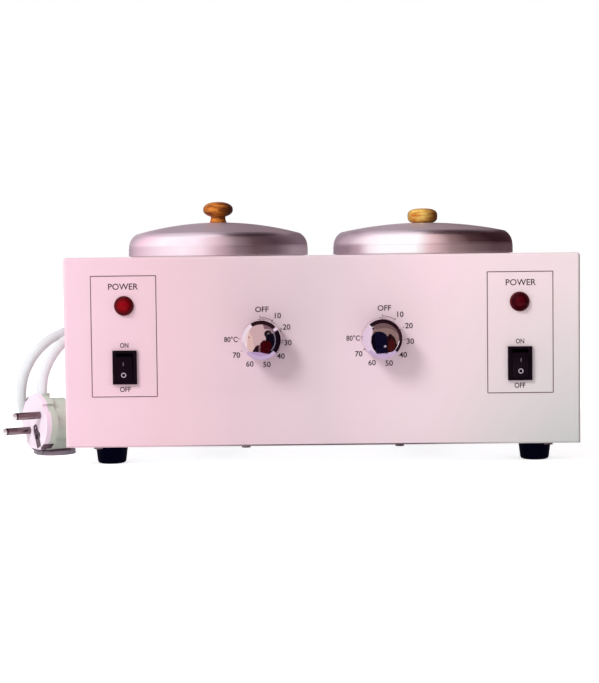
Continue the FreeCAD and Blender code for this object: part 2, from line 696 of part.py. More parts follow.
def make_lid_knob(name, side):
    """Turned wooden knob on a neck, held by a screw from inside the lid."""
    x = f"{side} * well_spacing / 2"
    seat = f"{name}_crown_z + hair / 2"
    neck_top = f"{seat} + {name}_neck"
    ball_top = f"{neck_top} + ball_height"
    hole = "lid_screw + hair"
    half = "ball_height / 2"
    tight = f"({half} + 0.1)"
    points = [
        (hole, seat),
        ("neck_radius + 0.8", seat),
        ("neck_radius", f"{seat} + {name}_neck * 0.6"),
        ("neck_radius", neck_top),
        ("neck_radius + 0.5", neck_top),
        ("ball_radius", f"{neck_top} + {half}"),
        ("ball_radius * 0.5", ball_top),
        ("0", f"{ball_top} + ball_crown"),
        ("0", f"{neck_top} + screw_room"),
        (hole, f"{neck_top} + screw_room"),
    ]
    arcs = {4: (tight + " * 1.15", 1), 5: (tight + " * 1.2", 1)}
    turned(f"{name}_lid_knob", points, x, "middle_y", arcs=arcs)
    head_top = dome(name, "lid_screw_head", "lid_sheet") + " - hair"
    length = f"lid_sheet + {name}_neck + screw_grip"
    head = "lid_screw_head", "head_height"
    piece(screw(x, "middle_y", f"{head_top} - head_height", "lid_screw", length, *head), f"{name}_lid_screw")


# ---------------------------------------------------------------- heating parts under the wells
def make_heater(name, side):
    """Band heater round a well, closed by a clamp bolt through its two ears."""
    x = f"{side} * well_spacing / 2"
    low = "well_floor_z - well_sheet + band_lift"
    inner = "well_outside + band_gap"
    outer = f"{inner} + band_sheet"
    tall = "band_height + 2 * through"
    ring = cut(rod(0, 0, low, outer, "band_height"), rod(0, 0, f"{low} - through", inner, tall))
    split = block(outer, 0, f"{low} - through", "ear_reach", "2 * ear_half", tall)
    ear_x = f"{outer} - ear_root + ear_reach / 2"
    size = "ear_reach", "band_sheet", "band_height - 2 * ear_inset"
    ears = []
    for way in SIDES.values():
        ears.append(block(ear_x, f"{way} * (ear_half + band_sheet / 2)", f"{low} + ear_inset", *size))
    bolt_x = f"{outer} + clamp_reach"
    bolt_z = f"{low} + band_height / 2"
    grip = "(ear_half + band_sheet)"
    length = f"2 * ({grip} + through)"
    hole = rod(bolt_x, f"-{grip} - through", bolt_z, "clamp_bolt + 2 * hair", length, "back")
    band = cut(fuse(cut(ring, split), *ears), hole)
    angle = 135 if name == "left" else 45
    place(band, x, "middle_y", 0, (0, 0, 1), angle)
    piece(band, f"{name}_heater_band")
    head = hexagon(bolt_x, f"-{grip} - nut_height - hair / 2", bolt_z, "nut_across", "nut_height", "back")
    length = f"2 * {grip} + nut_height + clamp_spare"
    shank = rod(bolt_x, f"-{grip} - 2 * hair", bolt_z, "clamp_bolt", length, "back")
    nut = cut(
        hexagon(bolt_x, f"{grip} + hair / 2", bolt_z, "nut_across", "nut_height", "back"),
        rod(bolt_x, 0, bolt_z, "clamp_bolt + hair", f"{grip} + nut_height + through", "back"),
    )
    bolt = group(fuse(head, shank), nut)
    return place(bolt, x, "middle_y", 0, (0, 0, 1), angle)


def make_stud(side):
    """Stud from a well's underside to below the base plate, and its two nuts."""
    x = f"{side} * well_spacing / 2"
    end = "foot_height - stud_nut - stud_spare"
    stud = rod(x, "middle_y", end, "stud_radius", f"well_floor_z - well_sheet - ({end})")
    nuts = []
    for low in ("foot_height - stud_nut", "plate_z"):
        thread = rod(x, "middle_y", f"{low} - through", "stud_radius + hair", "stud_nut + 2 * through")
        nuts.append(cut(hexagon(x, "middle_y", low, "stud_nut_across", "stud_nut"), thread))
    return stud, nuts


def make_cutout_switch(name, side):
    """Snap-disc thermal cut-out that sits against a well's underside."""
    x = f"{side} * well_spacing / 2 + cutout_shift"
    cap_z = "well_floor_z - well_sheet - cutout_cap_height"
    cap = rod(x, "middle_y", cap_z, "cutout_cap", "cutout_cap_height")
    flange = rod(x, "middle_y", f"{cap_z} - cutout_flange_sheet / 2", "cutout_flange", "cutout_flange_sheet")
    case = rod(x, "middle_y", f"{cap_z} - cutout_height", "cutout_radius", "cutout_height")
    tag_z = f"{cap_z} - cutout_height - tag_length"
    size = "blade_sheet", "tag_width", "2 * tag_length"
    tags = [block(f"{x} + {way} * cutout_tag_shift", "middle_y", tag_z, *size) for way in SIDES.values()]
    piece(fuse(cap, flange, case, *tags), f"{name}_thermal_cutout")


# ---------------------------------------------------------------- front panel parts
def make_thermostat(name, side):
    """Capillary thermostat behind the panel, with its bush through it and a nut in front."""
    x = f"{side} * dial_x"
    back = "front_y + steel"
    size = "stat_width", "stat_depth", "stat_height"
    case = block(x, f"{back} + stat_depth / 2", "dial_z - stat_height / 2", *size)
    bush = rod(x, "front_y - bush_reach", "dial_z", "bush_radius", "bush_reach + 2 * steel", "back")
    tag_y = f"{back} + stat_depth + tag_length / 2 - blade_sheet / 2"
    size = "tag_width", "tag_length", "blade_sheet"
    tags = []
    for way in SIDES.values():
        tags.append(block(f"{x} + {way} * tag_shift", tag_y, "dial_z - tag_drop", *size))
    depth = "through + steel + shaft_inside + shaft_end_gap"
    bore = rod(x, "front_y - through", "dial_z", "shaft_radius + running_gap", depth, "back")
    piece(cut(fuse(case, bush, *tags), bore), f"{name}_thermostat")
    nut = hexagon(x, "front_y - bush_nut - 2 * hair", "dial_z", "bush_nut_across", "bush_nut", "back")
    thread = rod(x, "front_y - through", "dial_z", "bush_radius + running_gap", "2 * through", "back")
    return cut(nut, thread)


def make_dial(name, side):
    """Chrome-plated dial knob with a hollow back, and the shaft that it turns."""
    x = f"{side} * dial_x"
    tall = "knob_reach"
    bore = "shaft_radius + hair / 2"
    points = [
        (bore, "knob_gap + knob_recess"),
        ("knob_hollow", "knob_gap + knob_recess"),
        ("knob_hollow", "knob_gap"),
        ("knob_skirt", "knob_gap"),
        ("knob_skirt", "knob_gap + skirt_height"),
        ("knob_radius + knob_taper", "knob_gap + 1.5 * skirt_height"),
        ("knob_radius", f"{tall} - knob_rise - knob_slope"),
        ("knob_disc", f"{tall} - knob_rise"),
        ("0", tall),
        ("0", f"{tall} - knob_cap"),
        (bore, f"{tall} - knob_cap"),
    ]
    arcs = {7: ("(knob_disc * knob_disc + knob_rise * knob_rise) / (2 * knob_rise)", 1)}
    rounds = [
        ("knob_radius", f"{tall} - knob_rise - knob_slope", "knob_edge"),
        ("knob_skirt", "knob_gap + skirt_height", "skirt_height / 4"),
    ]
    turned(f"{name}_dial_knob", points, x, "front_y", "dial_z", (1, 0, 0), 90, arcs, rounds)
    back = f"{tall} - knob_cap - seat_gap"
    shaft = rod(x, f"front_y - ({back})", "dial_z", "shaft_radius", f"{back} + steel + shaft_inside", "back")
    piece(shaft, f"{name}_dial_shaft")


def make_lamp(name, side):
    """Indicator lamp: bezel and barrel through the panel, a domed lens in front."""
    x = f"{side} * panel_x"
    points = [
        ("lens_neck + hair", "bezel_proud"),
        ("lamp_radius - lamp_edge", "bezel_proud"),
        ("lamp_radius", "bezel_proud - lamp_edge"),
        ("lamp_radius", "0"),
        ("lamp_barrel", "0"),
        ("lamp_barrel", "-lamp_length"),
        ("0", "-lamp_length"),
        ("0", "-lamp_length + lamp_floor"),
        ("lens_neck + hair", "-lamp_length + lamp_floor"),
    ]
    turned(f"{name}_lamp_body", points, x, "front_y", "lamp_z", (1, 0, 0), 90)
    proud = "bezel_proud + hair"
    edge = f"{proud} + lens_edge"
    lens = [
        ("0", "-lens_barrel"),
        ("lens_neck", "-lens_barrel"),
        ("lens_neck", proud),
        ("lens_radius", proud),
        ("lens_radius", edge),
        ("0", f"{edge} + lens_rise"),
    ]
    dome_arc = {4: ("(lens_radius * lens_radius + lens_rise * lens_rise) / (2 * lens_rise)", 1)}
    turned(f"{name}_lamp_lens", lens, x, "front_y", "lamp_z", (1, 0, 0), 90, dome_arc)
    ring = rod(x, "front_y + steel", "lamp_z", "ring_radius", "ring_height", "back")
    return cut(ring, rod(x, "front_y", "lamp_z", "lamp_barrel + hair", "2 * through", "back"))


def make_switch(name, side):
    """Rocker switch: a snap-in body with a bezel, and a rocker on two pivot pins."""
    x = f"{side} * panel_x"
    barrel_wide = "switch_width - 2 * bezel_edge"
    barrel_tall = "switch_height - 2 * bezel_edge"
    pivot_y = "front_y + pivot_depth"
    size = "switch_width", "bezel_proud", "switch_height"
    bezel = block(x, "front_y - bezel_proud / 2", "switch_z - switch_height / 2", *size)
    size = barrel_wide, "switch_depth", barrel_tall
    barrel = block(x, "front_y + switch_depth / 2", f"switch_z - ({barrel_tall}) / 2", *size)
    throat_half = "rocker_half + throat_room"
    size = "rocker_width + hole_gap", "throat_depth", f"2 * ({throat_half})"
    throat = block(x, "front_y - bezel_proud + throat_depth / 2", f"switch_z - ({throat_half})", *size)
    start = f"{x} - ({barrel_wide}) / 2 + pivot_wall"
    length = f"{barrel_wide} - 2 * pivot_wall"
    pins = rod(start, pivot_y, "switch_z", "pivot_radius + running_gap", length, "right")
    piece(cut(fuse(bezel, barrel), throat, pins), f"{name}_switch_body")
    rocker = padded_body(
        [
            ("-rocker_front", "0"),
            ("-rocker_front - rocker_rise", "rocker_half"),
            ("rocker_back", "rocker_half - rocker_slope"),
            ("rocker_heel", "0"),
            ("rocker_back", "-(rocker_half - rocker_slope)"),
            ("-rocker_front - rocker_rise", "-rocker_half"),
        ],
        "-rocker_width / 2",
        "rocker_width / 2",
    )
    # the outline's first axis becomes the world's Y and its second the world's Z
    upright = Rotation(Vector(0, 1, 0), Vector(0, 0, 1), Vector(1, 0, 0))
    rocker.Placement = Placement(Vector(0, 0, 0), upright)
    pin_end = f"({barrel_wide}) / 2 - pivot_wall - pivot_end_gap"
    pin = rod(f"-({pin_end})", 0, 0, "pivot_radius", f"2 * ({pin_end})", "right")
    item = fuse(rocker, pin)
    place(item, x, pivot_y, "switch_z", (1, 0, 0), value("rocker_angle"))
    bind(item, Placement__Rotation__Angle="rocker_angle")
    piece(item, f"{name}_rocker")
    y = "front_y + switch_depth + blade_length / 2"
    lows = [f"switch_z + {way} * blade_shift - blade_sheet / 2" for way in SIDES.values()]
    return [block(x, y, low, "blade_width", "blade_length", "blade_sheet") for low in lows]


# ---------------------------------------------------------------- wiring
BLOCK_X = "block_side - housing_width / 2"
BLOCK_Y = "rear_y - block_inset"
EARTH_X = "foot_inset_x - housing_width / 2 - earth_side"
EARTH_Y = "rear_y - foot_inset_y - earth_inset"


def bent_path(points):
    """Straight runs joined by tangent arcs, each as large as its two runs allow. Gives the wire and its
    smallest radius."""
    spots = [Vector(*p) for p in points]
    edges = []
    start = spots[0]
    radii = []
    for before, corner, after in zip(spots, spots[1:], spots[2:]):
        into, out = (corner - before), (after - corner)
        turn = into.getAngle(out)
        if turn < 1e-4:
            continue
        reach = 0.45 * min(into.Length, out.Length)
        radius = reach / math.tan(turn / 2)
        a, b = into.normalize(), out.normalize()
        enter, leave = corner - a * reach, corner + b * reach
        inward = (b - a).normalize()
        centre = corner + inward * math.hypot(radius, reach)
        middle = centre - inward * radius
        edges.append(Part.LineSegment(start, enter).toShape())
        edges.append(Part.Arc(enter, middle, leave).toShape())
        radii.append(radius)
        start = leave
    edges.append(Part.LineSegment(start, spots[-1]).toShape())
    return Part.Wire(edges), radii


def tube(points, radius, name):
    """A round solid along a bent path."""
    path, radii = bent_path(points)
    start = Vector(*points[0])
    along = (Vector(*points[1]) - start).normalize()
    ring = Part.Wire(Part.Circle(start, along, radius).toShape())
    solid = path.makePipeShell([ring], True, False)
    ratio = solid.Volume / (math.pi * radius**2 * path.Length)
    print(f"{name}: length {path.Length:.0f}, smallest radius {min(radii):.1f}, volume ratio {ratio:.4f}")
    return solid


def feature(shape, label):
    item = doc.addObject("Part::Feature", "Feature")
    item.Shape = shape
    return piece(item, label)


def make_terminals():
    """Terminal block and earth screw on the base plate."""
    ways = ("-way_pitch", "0", "way_pitch")
    case = block(BLOCK_X, BLOCK_Y, "plate_z", "block_width", "block_depth", "block_height")
    clamps, hollows = [], []
    for way in ways:
        x = f"{BLOCK_X} + {way}"
        hollows.append(rod(x, BLOCK_Y, "way_z + way_bore - 2 * hair", "clamp_radius + hair", "block_height"))
        hollows.append(rod(x, f"{BLOCK_Y} - block_depth", "way_z", "way_bore", "2 * block_depth", "back"))
        clamps.append(rod(x, BLOCK_Y, "way_z + way_bore", "clamp_radius", "block_height / 2 - way_bore"))
    for way in SIDES.values():
        x = f"{BLOCK_X} + {way} * block_fixing"
        length = "block_height + 2 * through"
        hollows.append(rod(x, BLOCK_Y, "plate_z - through", "screw_radius + hair", length))
        shank = rod(x, BLOCK_Y, "foot_height - 2 * steel", "screw_radius", "block_height + 4 * steel")
        head = rod(x, BLOCK_Y, "plate_z + block_height", "small_head", "head_height")
        clamps.append(fuse(shank, head))
    piece(cut(case, *hollows), "terminal_block")
    piece(group(*clamps), "terminal_screws")
    earth = fuse(
        rod(EARTH_X, EARTH_Y, "foot_height - nut_height", "earth_radius", "earth_length"),
        hexagon(EARTH_X, EARTH_Y, "plate_z + tag_sheet", "nut_across", "nut_height"),
    )
    ring = cut(
        rod(EARTH_X, EARTH_Y, "plate_z", "earth_radius + earth_ring", "tag_sheet"),
        rod(EARTH_X, EARTH_Y, "plate_z - tag_sheet", "earth_radius + hair", "3 * tag_sheet"),
    )
    piece(group(earth, ring), "earth_screw")


def make_sensor(name, side):
    """Sensor bulb against a well above its band heater, with the capillary to the thermostat."""
    x = f"{side} * dial_x"
    reach = "(well_outside + bulb_radius + band_gap)"
    across = "(well_spacing / 2 - dial_x)"
    y = f"middle_y - sqrt({reach} * {reach} - {across} * {across})"
    low = "well_floor_z - well_sheet + band_lift + band_height + bulb_lift"
    bulb = rod(x, y, low, "bulb_radius", "bulb_length")
    bend = f"{low} - bulb_drop"
    route = [(x, y, f"{low} + capillary_root"), (x, y, bend), (x, "front_y + steel + stat_depth", bend)]
    capillary = doc.addObject("Part::Feature", "Capillary")
    spots = [[value(at) for at in spot] for spot in route]
    capillary.Shape = tube(spots, value("capillary_radius"), f"{name} capillary")
    piece(fuse(bulb, capillary), f"{name}_sensor_bulb")


def make_wires():
    """Wires from the cord to the terminal block and earth screw, and on to the switches and heaters."""
    block_x, block_y = value(BLOCK_X), value(BLOCK_Y)
    earth_x, earth_y = value(EARTH_X), value(EARTH_Y)
    plate, way_z, pitch = value("plate_z"), value("way_z"), value("way_pitch")
    half = value("block_depth") / 2
    thick = value("wire_radius")
    gland_x, gland_z = value("gland_x"), value("gland_z")
    start_y = value("rear_y - steel - gland_inside")
    middle = value("middle_y")

    def core(shift, x):
        """From the cord's inner end down to a way of the terminal block."""
        return [
            (gland_x + shift, start_y - 0.1, gland_z + 1),
            (gland_x + shift, start_y - 10, gland_z + 1),
            ((gland_x + x) / 2 + shift / 2, start_y - 10, (gland_z + way_z) / 2),
            (x, start_y - 3, way_z + 13),
            (x, block_y + half + 5, way_z),
            (x, block_y + half - 2, way_z),
        ]

    live = [tube(core(-1.3 * thick, block_x - pitch), thick, "live core")]
    neutral = [tube(core(1.3 * thick, block_x), thick, "neutral core")]
    blade_y = value("front_y + switch_depth + blade_length")
    blade_z = value("switch_z - blade_shift")
    panel_x, well_x = value("panel_x"), value("well_spacing") / 2
    band_z = value("well_floor_z - well_sheet + band_lift")
    band_y = middle + value("well_outside + band_sheet") + thick + 0.5
    for name, side, lift in (("left", -1, 0), ("right", 1, 8)):
        sink = 0.55 * side * thick  # two wires share a way of the block
        to_switch = [
            (block_x - pitch + side, block_y - half + 2, way_z + sink),
            (block_x - pitch + side, block_y - half - 6, way_z + sink),
            (block_x - pitch + 8 * side, block_y - half - 26, plate + 8 + lift),
            (0.5 * side * panel_x - 25, middle - 10 - lift, plate + 10 + lift),
            (side * (panel_x - 4), middle - 32, plate + 14 + lift),
            (side * panel_x, blade_y + 18, blade_z - 14),
            (side * panel_x, blade_y + 8, blade_z),
            (side * panel_x, blade_y, blade_z),
        ]
        live.append(tube(to_switch, thick, f"{name} live wire"))
        to_heater = [
            (block_x + side, block_y - half + 2, way_z + sink),
            (block_x + side, block_y - half - 5, way_z + sink),
            (block_x + 10 + 6 * side, block_y - half - 12, plate + 16 + lift),
            (side * well_x - 14, band_y + 2, plate + 26 + lift),
            (side * well_x, band_y, band_z - 8),
            (side * well_x, band_y, band_z + 8),
        ]
        neutral.append(tube(to_heater, thick, f"{name} heater wire"))
    feature(Part.makeCompound(live), "live_wires")
    feature(Part.makeCompound(neutral), "neutral_wires")
    to_earth = [
        (gland_x, start_y - 0.1, gland_z - 1.6),
        (gland_x, start_y - 5, gland_z - 1.6),
        (gland_x - 12, start_y - 4, gland_z - 16),
        (earth_x + 8, earth_y + 22, (gland_z + plate) / 2),
        (earth_x, earth_y + 18, plate + 10),
        (earth_x, earth_y + 11, plate + thick + 0.1),
        (earth_x, earth_y + 4.4, plate + thick + 0.1),
    ]
    feature(tube(to_earth, thick, "earth core"), "earth_wire")


# ---------------------------------------------------------------- mains cord and plug
# From the strain relief round the rear corner, forward along the left wall, down behind the plug and back
# along the surface to the coil; then from the coil up over the corner and down into the plug's neck.
CORD_TO_COIL = [
    (-106, 87.05, 100),
    (-106, 146, 100),
    (-106, 166, 99.3),
    (-111.2, 184.3, 97.5),
    (-125.3, 198.3, 94.5),
    (-144.5, 203.5, 91),
    (-163.7, 198.3, 87.5),
    (-177.8, 184.3, 84),
    (-183, 165, 81),
    (-184, 142, 79),
    (-182.5, 118, 78),
    (-179, 94, 78.5),
    (-176.8, 75, 80),
    (-176.6, 60, 80.6),
    (-179.2, 45.7, 78.9),
    (-187.5, 32.2, 75),
    (-196.5, 21.4, 65.5),
    (-202.8, 14.6, 52),
    (-204.8, 13, 37.2),
    (-202.8, 17.4, 22.4),
    (-198.2, 27.4, 11.2),
    (-192.5, 41, 5),
    (-187, 56, 3.5),
    (-181, 74, 3.5),
    (-172.5, 96, 3.5),
    (-161, 117, 3.5),
    (-146, 136, 3.5),
    (-135, 156, 3.5),
    (-130.5, 177, 3.5),
]
CORD_TO_PLUG = [
    (-98, 127, 10.1),
    (-117, 126, 13),
    (-134, 124.5, 19.5),
    (-151, 120, 28),
    (-164, 109, 38),
    (-169.5, 94, 49),
    (-169.5, 78, 59),
    (-168.5, 62, 67),
    (-168.5, 46, 73.2),
    (-169.8, 31, 76.5),
    (-173.2, 18.5, 75.4),
    (-177.6, 8, 70.6),
    (-182, -0.3, 63.2),
    (-185.6, -6.2, 53.3),
    (-186.6, -8.8, 41),
    (-186.6, -8.8, 33),
]


def make_cord():
    """The cord's two stretches, the tied coil between them and the strain relief at the panel."""
    thick = value("cord_radius")
    x, y, z = "gland_x", "rear_y", "gland_z"
    bore = "cord_radius + cord_gap"
    points = [
        (bore, "-steel - gland_inside"),
        ("gland_radius", "-steel - gland_inside"),
        ("gland_radius", "0"),
        ("gland_radius + gland_brim", "0"),
        ("gland_radius + gland_brim", "gland_brim_thick"),
        ("gland_radius", "gland_brim_thick + 1"),
        (f"{bore} + gland_wall", "gland_length"),
        (bore, "gland_length"),
    ]
    turned("cord_gland", points, x, y, z, (1, 0, 0), -90)
    feature(tube(CORD_TO_COIL, thick, "cord to coil"), "mains_cord")
    inner, outer = "coil_radius - 2.05 * cord_radius", "coil_radius + 2.05 * cord_radius"
    top = "4 * cord_radius - 0.6"
    ring = [(inner, "0.1"), (outer, "0.1"), (outer, top), (inner, top)]
    rounds = [(r, h, "cord_radius - 0.4") for r in (inner, outer) for h in ("0.1", top)]
    turned("cord_coil", ring, "coil_x", "coil_y", rounds=rounds)
    x = "coil_x + coil_radius"
    strap = block(x, "coil_y", "0.02", "4.1 * cord_radius + 3", "tie_width", "4 * cord_radius + 0.8")
    room = block(x, "coil_y", "0.04", "4.1 * cord_radius + 1", "3 * tie_width", "4 * cord_radius - 0.3")
    piece(cut(strap, room), "cord_tie")
    feature(tube(CORD_TO_PLUG, thick, "cord to plug"), "plug_cord")


def make_plug():
    """Right-angle earthed plug: a round face with two pins, a rear body on a grip plate, a neck on top.
    It is made with the face looking along -x, the face's middle at the origin and the neck upwards."""
    face = rod(0, 0, 0, "plug_radius", 8, "right")
    back = rod(8, 0, 0, "plug_radius - 3", 13, "right")
    spine = block(13, 0, "-plug_radius", 18, 19, "plug_radius + 8")
    neck = rod("neck_place", 0, 0, 5.4, "plug_radius + 0.6")
    plate = rod(15, 0, "-plug_z + 0.05", 13.4, "plug_base")
    stem = block(11, 0, "-plug_z + 0.5", 18, 12, 8)
    pins, sockets, contacts, slots, grooves = [], [], [], [], []
    for way in SIDES.values():
        y = f"{way} * pin_spacing / 2"
        root = rod("-pin_root", y, 0, "pin_radius - pin_shoulder", "2 * pin_root", "right")
        pins.append(fuse(rod("-pin_length", y, 0, "pin_radius", "pin_length", "right"), root))
        bore = "pin_radius - pin_shoulder + hair / 2"
        sockets.append(rod("-pin_root", y, 0, bore, "2 * pin_root + hair / 2", "right"))
        grooves.append(block(0, f"{way} * (plug_radius + 0.6)", -3, 40, 5, 6))
        contacts.append(block(3.6, 0, f"{way} * plug_radius - 0.5", 7, 5, 1))
        slots.append(block(3.6, 0, f"{way} * plug_radius - 0.6", 7.2, 5.2, 1.2))
    earth_hole = rod(-1, 0, "-plug_radius * 0.52", 2.4, 12, "right")
    turned_in_face = [fuse(*sockets, *grooves, *slots, earth_hole), group(*pins), group(*contacts)]
    for item in turned_in_face:
        place(item, axis=(-1, 0, 0), turn=value("pin_turn"))
        bind(item, Placement__Rotation__Angle="pin_turn")
    low, tall = "plug_radius - cord_in_plug", "2 * cord_in_plug"
    cord_hole = rod("neck_place", 0, low, "cord_radius + cord_gap", tall)
    shell = cut(fuse(face, back, spine, neck, plate, stem), cord_hole, turned_in_face[0])
    labels = ("plug_body", "plug_pins", "plug_earth_contacts")
    for item, label in zip((shell, *turned_in_face[1:]), labels):
        whole = group(item)
        place(whole, "plug_x", "plug_y", "plug_z", (0, 0, 1), value("plug_turn"))
        bind(whole, Placement__Rotation__Angle="plug_turn")
        piece(whole, label)


# ---------------------------------------------------------------- build
make_housing_shell()
make_base()
make_feet()
bolts, studs, stud_nuts, bush_nuts, lamp_nuts, terminals = [], [], [], [], [], []
for name, side in SIDES.items():
    make_well(name, side)
    make_pot(name, side)
    make_lid(name, side)
    make_lid_knob(name, side)
    bolts.append(make_heater(name, side))
    stud, nuts = make_stud(side)
    studs.append(stud)
    stud_nuts += nuts
    make_cutout_switch(name, side)
    make_sensor(name, side)
    bush_nuts.append(make_thermostat(name, side))
    make_dial(name, side)
    lamp_nuts.append(make_lamp(name, side))
    terminals += make_switch(name, side)
for items, label in (
    (bolts, "heater_clamp_bolts"),
    (studs, "well_studs"),
    (stud_nuts, "well_stud_nuts"),
    (bush_nuts, "thermostat_nuts"),
    (lamp_nuts, "lamp_nuts"),
    (terminals, "switch_terminals"),
):
    piece(group(*items), label)
make_terminals()
make_wires()
make_cord()
make_plug()
doc.recompute()

for item in doc.Objects:
    if "Invalid" in item.State or "Error" in item.State:
        raise RuntimeError(f"{item.Name} ({item.Label}) failed: {item.State}")
os.makedirs("parts", exist_ok=True)
for item in pieces:
    shape = item.Shape
    if shape.isNull() or not shape.isValid() or not shape.Solids:
        raise RuntimeError(f"{item.Label} has no sound shape")
    shape.exportStep(f"parts/{item.Label}.step")
print(f"{len(pieces)} sub-parts written")
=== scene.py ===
# %% [markdown]
# # Double-pot wax warmer
# A beauty salon's warmer for depilatory wax: a box of painted sheet steel with two round wells in its top, a
# lidded pot in each, and on the front a thermostat dial, a rocker switch and a red lamp for each pot. The
# lesson dresses a finished model of it: the sizes are already fixed, and each cell gives one piece its fine
# shape or its finish. All places are in metres on the model's own axes: +X to the right, +Y to the back, +Z up,
# with the front panel facing -Y.

# %% Load the frame
import math

import bmesh
import bpy
from mathutils import Matrix, Vector


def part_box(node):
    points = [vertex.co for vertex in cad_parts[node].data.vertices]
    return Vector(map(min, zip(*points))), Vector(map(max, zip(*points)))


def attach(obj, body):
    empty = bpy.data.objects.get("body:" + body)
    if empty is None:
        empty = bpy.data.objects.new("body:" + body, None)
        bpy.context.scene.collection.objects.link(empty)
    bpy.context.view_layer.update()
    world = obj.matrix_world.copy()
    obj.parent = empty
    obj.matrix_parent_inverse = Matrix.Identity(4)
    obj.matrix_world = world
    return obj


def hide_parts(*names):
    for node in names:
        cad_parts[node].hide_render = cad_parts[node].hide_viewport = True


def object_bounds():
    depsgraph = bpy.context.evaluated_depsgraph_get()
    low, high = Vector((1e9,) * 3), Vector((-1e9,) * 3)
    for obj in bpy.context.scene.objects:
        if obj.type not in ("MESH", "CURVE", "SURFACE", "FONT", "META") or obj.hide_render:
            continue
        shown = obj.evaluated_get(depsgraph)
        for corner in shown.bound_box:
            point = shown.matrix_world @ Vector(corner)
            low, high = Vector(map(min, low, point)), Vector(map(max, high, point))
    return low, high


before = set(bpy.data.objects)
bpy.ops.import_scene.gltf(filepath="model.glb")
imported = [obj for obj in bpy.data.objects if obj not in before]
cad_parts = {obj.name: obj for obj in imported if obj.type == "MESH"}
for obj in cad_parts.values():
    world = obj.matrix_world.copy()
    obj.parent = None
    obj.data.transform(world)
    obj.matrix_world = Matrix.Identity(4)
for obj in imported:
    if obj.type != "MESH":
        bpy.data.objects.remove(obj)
cad_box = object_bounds()
MM = 0.001
SIDES = {"left": -1, "right": 1}
span = [high - low for low, high in zip(*cad_box)]
print(len(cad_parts), "nodes in a box of", " x ".join(f"{size / MM:.1f}" for size in span), "mm")

# %% [markdown]
# ## Places that the pieces share
# Many pieces sit on the front panel or over the wells, so those planes are read once from the box of the
# housing's shell. They could be typed in as numbers, but a number that is read can't drift away from the model
# when the model changes.

# %% Places
shell_low, shell_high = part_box("housing_shell")
FRONT = shell_low[1]
REAR = shell_high[1]
TOP = shell_high[2]
MIDDLE_Y = (FRONT + REAR) / 2


def middle(node):
    """The middle of a node's box."""
    low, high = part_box(node)
    return (Vector(low) + Vector(high)) / 2


print(f"front panel at y {FRONT / MM:.2f}, top face at z {TOP / MM:.1f}, middle at y {MIDDLE_Y / MM:.2f} mm")

# %% [markdown]
# ## Camera
# The object is seen from the front, almost square to the panel and a little from above, as a shop shows it.
# A camera in Blender looks along its own -Z with +Y upwards, so its turn is built from three directions: ahead,
# right and up. Euler angles would do as well, but with yaw, pitch and roll written out it stays clear which way
# each one leans. The long lens keeps the box's edges nearly parallel.

# %% Camera
IMAGE_WIDTH = 599
CAMERA_AT = Vector((-0.002955, -1.06923, 0.12475))
CAMERA_YAW, CAMERA_PITCH, CAMERA_ROLL = (math.radians(a) for a in (-0.631, 2.774, -0.659))
CAMERA_FOCUS = 1602.03  # pixels
SENSOR = 36.0  # millimetres across


def camera_turn():
    """The camera's turn, from the directions ahead of it, to its right and above it."""
    level_reach = math.cos(CAMERA_PITCH)
    ahead = Vector(
        (math.sin(CAMERA_YAW) * level_reach, math.cos(CAMERA_YAW) * level_reach, -math.sin(CAMERA_PITCH))
    )
    level = Vector((math.cos(CAMERA_YAW), -math.sin(CAMERA_YAW), 0))
    upward = level.cross(ahead)
    right = level * math.cos(CAMERA_ROLL) + upward * math.sin(CAMERA_ROLL)
    return Matrix((right, right.cross(ahead), -ahead)).transposed().to_4x4()


def make_camera():
    """A camera whose lens gives the wanted focus in pixels on the sensor's width."""
    data = bpy.data.cameras.new("camera")
    data.sensor_fit = "HORIZONTAL"
    data.sensor_width = SENSOR
    data.lens = CAMERA_FOCUS * SENSOR / IMAGE_WIDTH
    camera = bpy.data.objects.new("camera", data)
    camera.matrix_world = Matrix.Translation(CAMERA_AT) @ camera_turn()
    bpy.context.scene.collection.objects.link(camera)
    bpy.context.scene.camera = camera
    return camera


print(f"camera with a lens of {make_camera().data.lens:.1f} mm, {-CAMERA_AT.y:.2f} m in front")

# %% [markdown]
# ## From a bmesh to a piece
# A bmesh is Blender's workbench for meshes: points, edges and faces that operators cut, turn and round. When a
# shape is done it becomes mesh data, and an object shows that data in the scene. Smooth shading hides the
# facets of curved faces, and edges that turn by more than a set angle are marked sharp, so that a rim or a box
# edge still looks crisp. Each piece also rides on a body, so that a lid's new shape moves with the lid.

# %% Making a piece


def mesh_from(name, shape, smooth=32):
    """A mesh of a bmesh, smooth except where faces meet at more than the given degrees."""
    data = bpy.data.meshes.new(name)
    shape.to_mesh(data)
    shape.free()
    data.shade_smooth()
    if smooth:
        data.set_sharp_from_angle(angle=math.radians(smooth))
    return data


def add_object(name, data, body="housing", material=None):
    """Links an object that rides on a body."""
    item = bpy.data.objects.new(name, data)
    bpy.context.scene.collection.objects.link(item)
    if material:
        data.materials.append(material)
    if body:
        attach(item, body)
    return item


def tell(item):
    """Prints a piece's number of faces and its size, and hands the piece on."""
    spots = [vertex.co for vertex in item.data.vertices]
    sizes = [max(spot[axis] for spot in spots) - min(spot[axis] for spot in spots) for axis in range(3)]
    measured = " x ".join(f"{size / MM:.1f}" for size in sizes)
    print(f"{item.name}: {len(item.data.polygons)} faces, {measured} mm")
    return item


trial = bmesh.new()
bmesh.ops.create_cube(trial, size=10 * MM)
cube = mesh_from("trial", trial)
print("a cube's mesh has", len(cube.vertices), "points and", len(cube.polygons), "faces")
bpy.data.meshes.remove(cube)

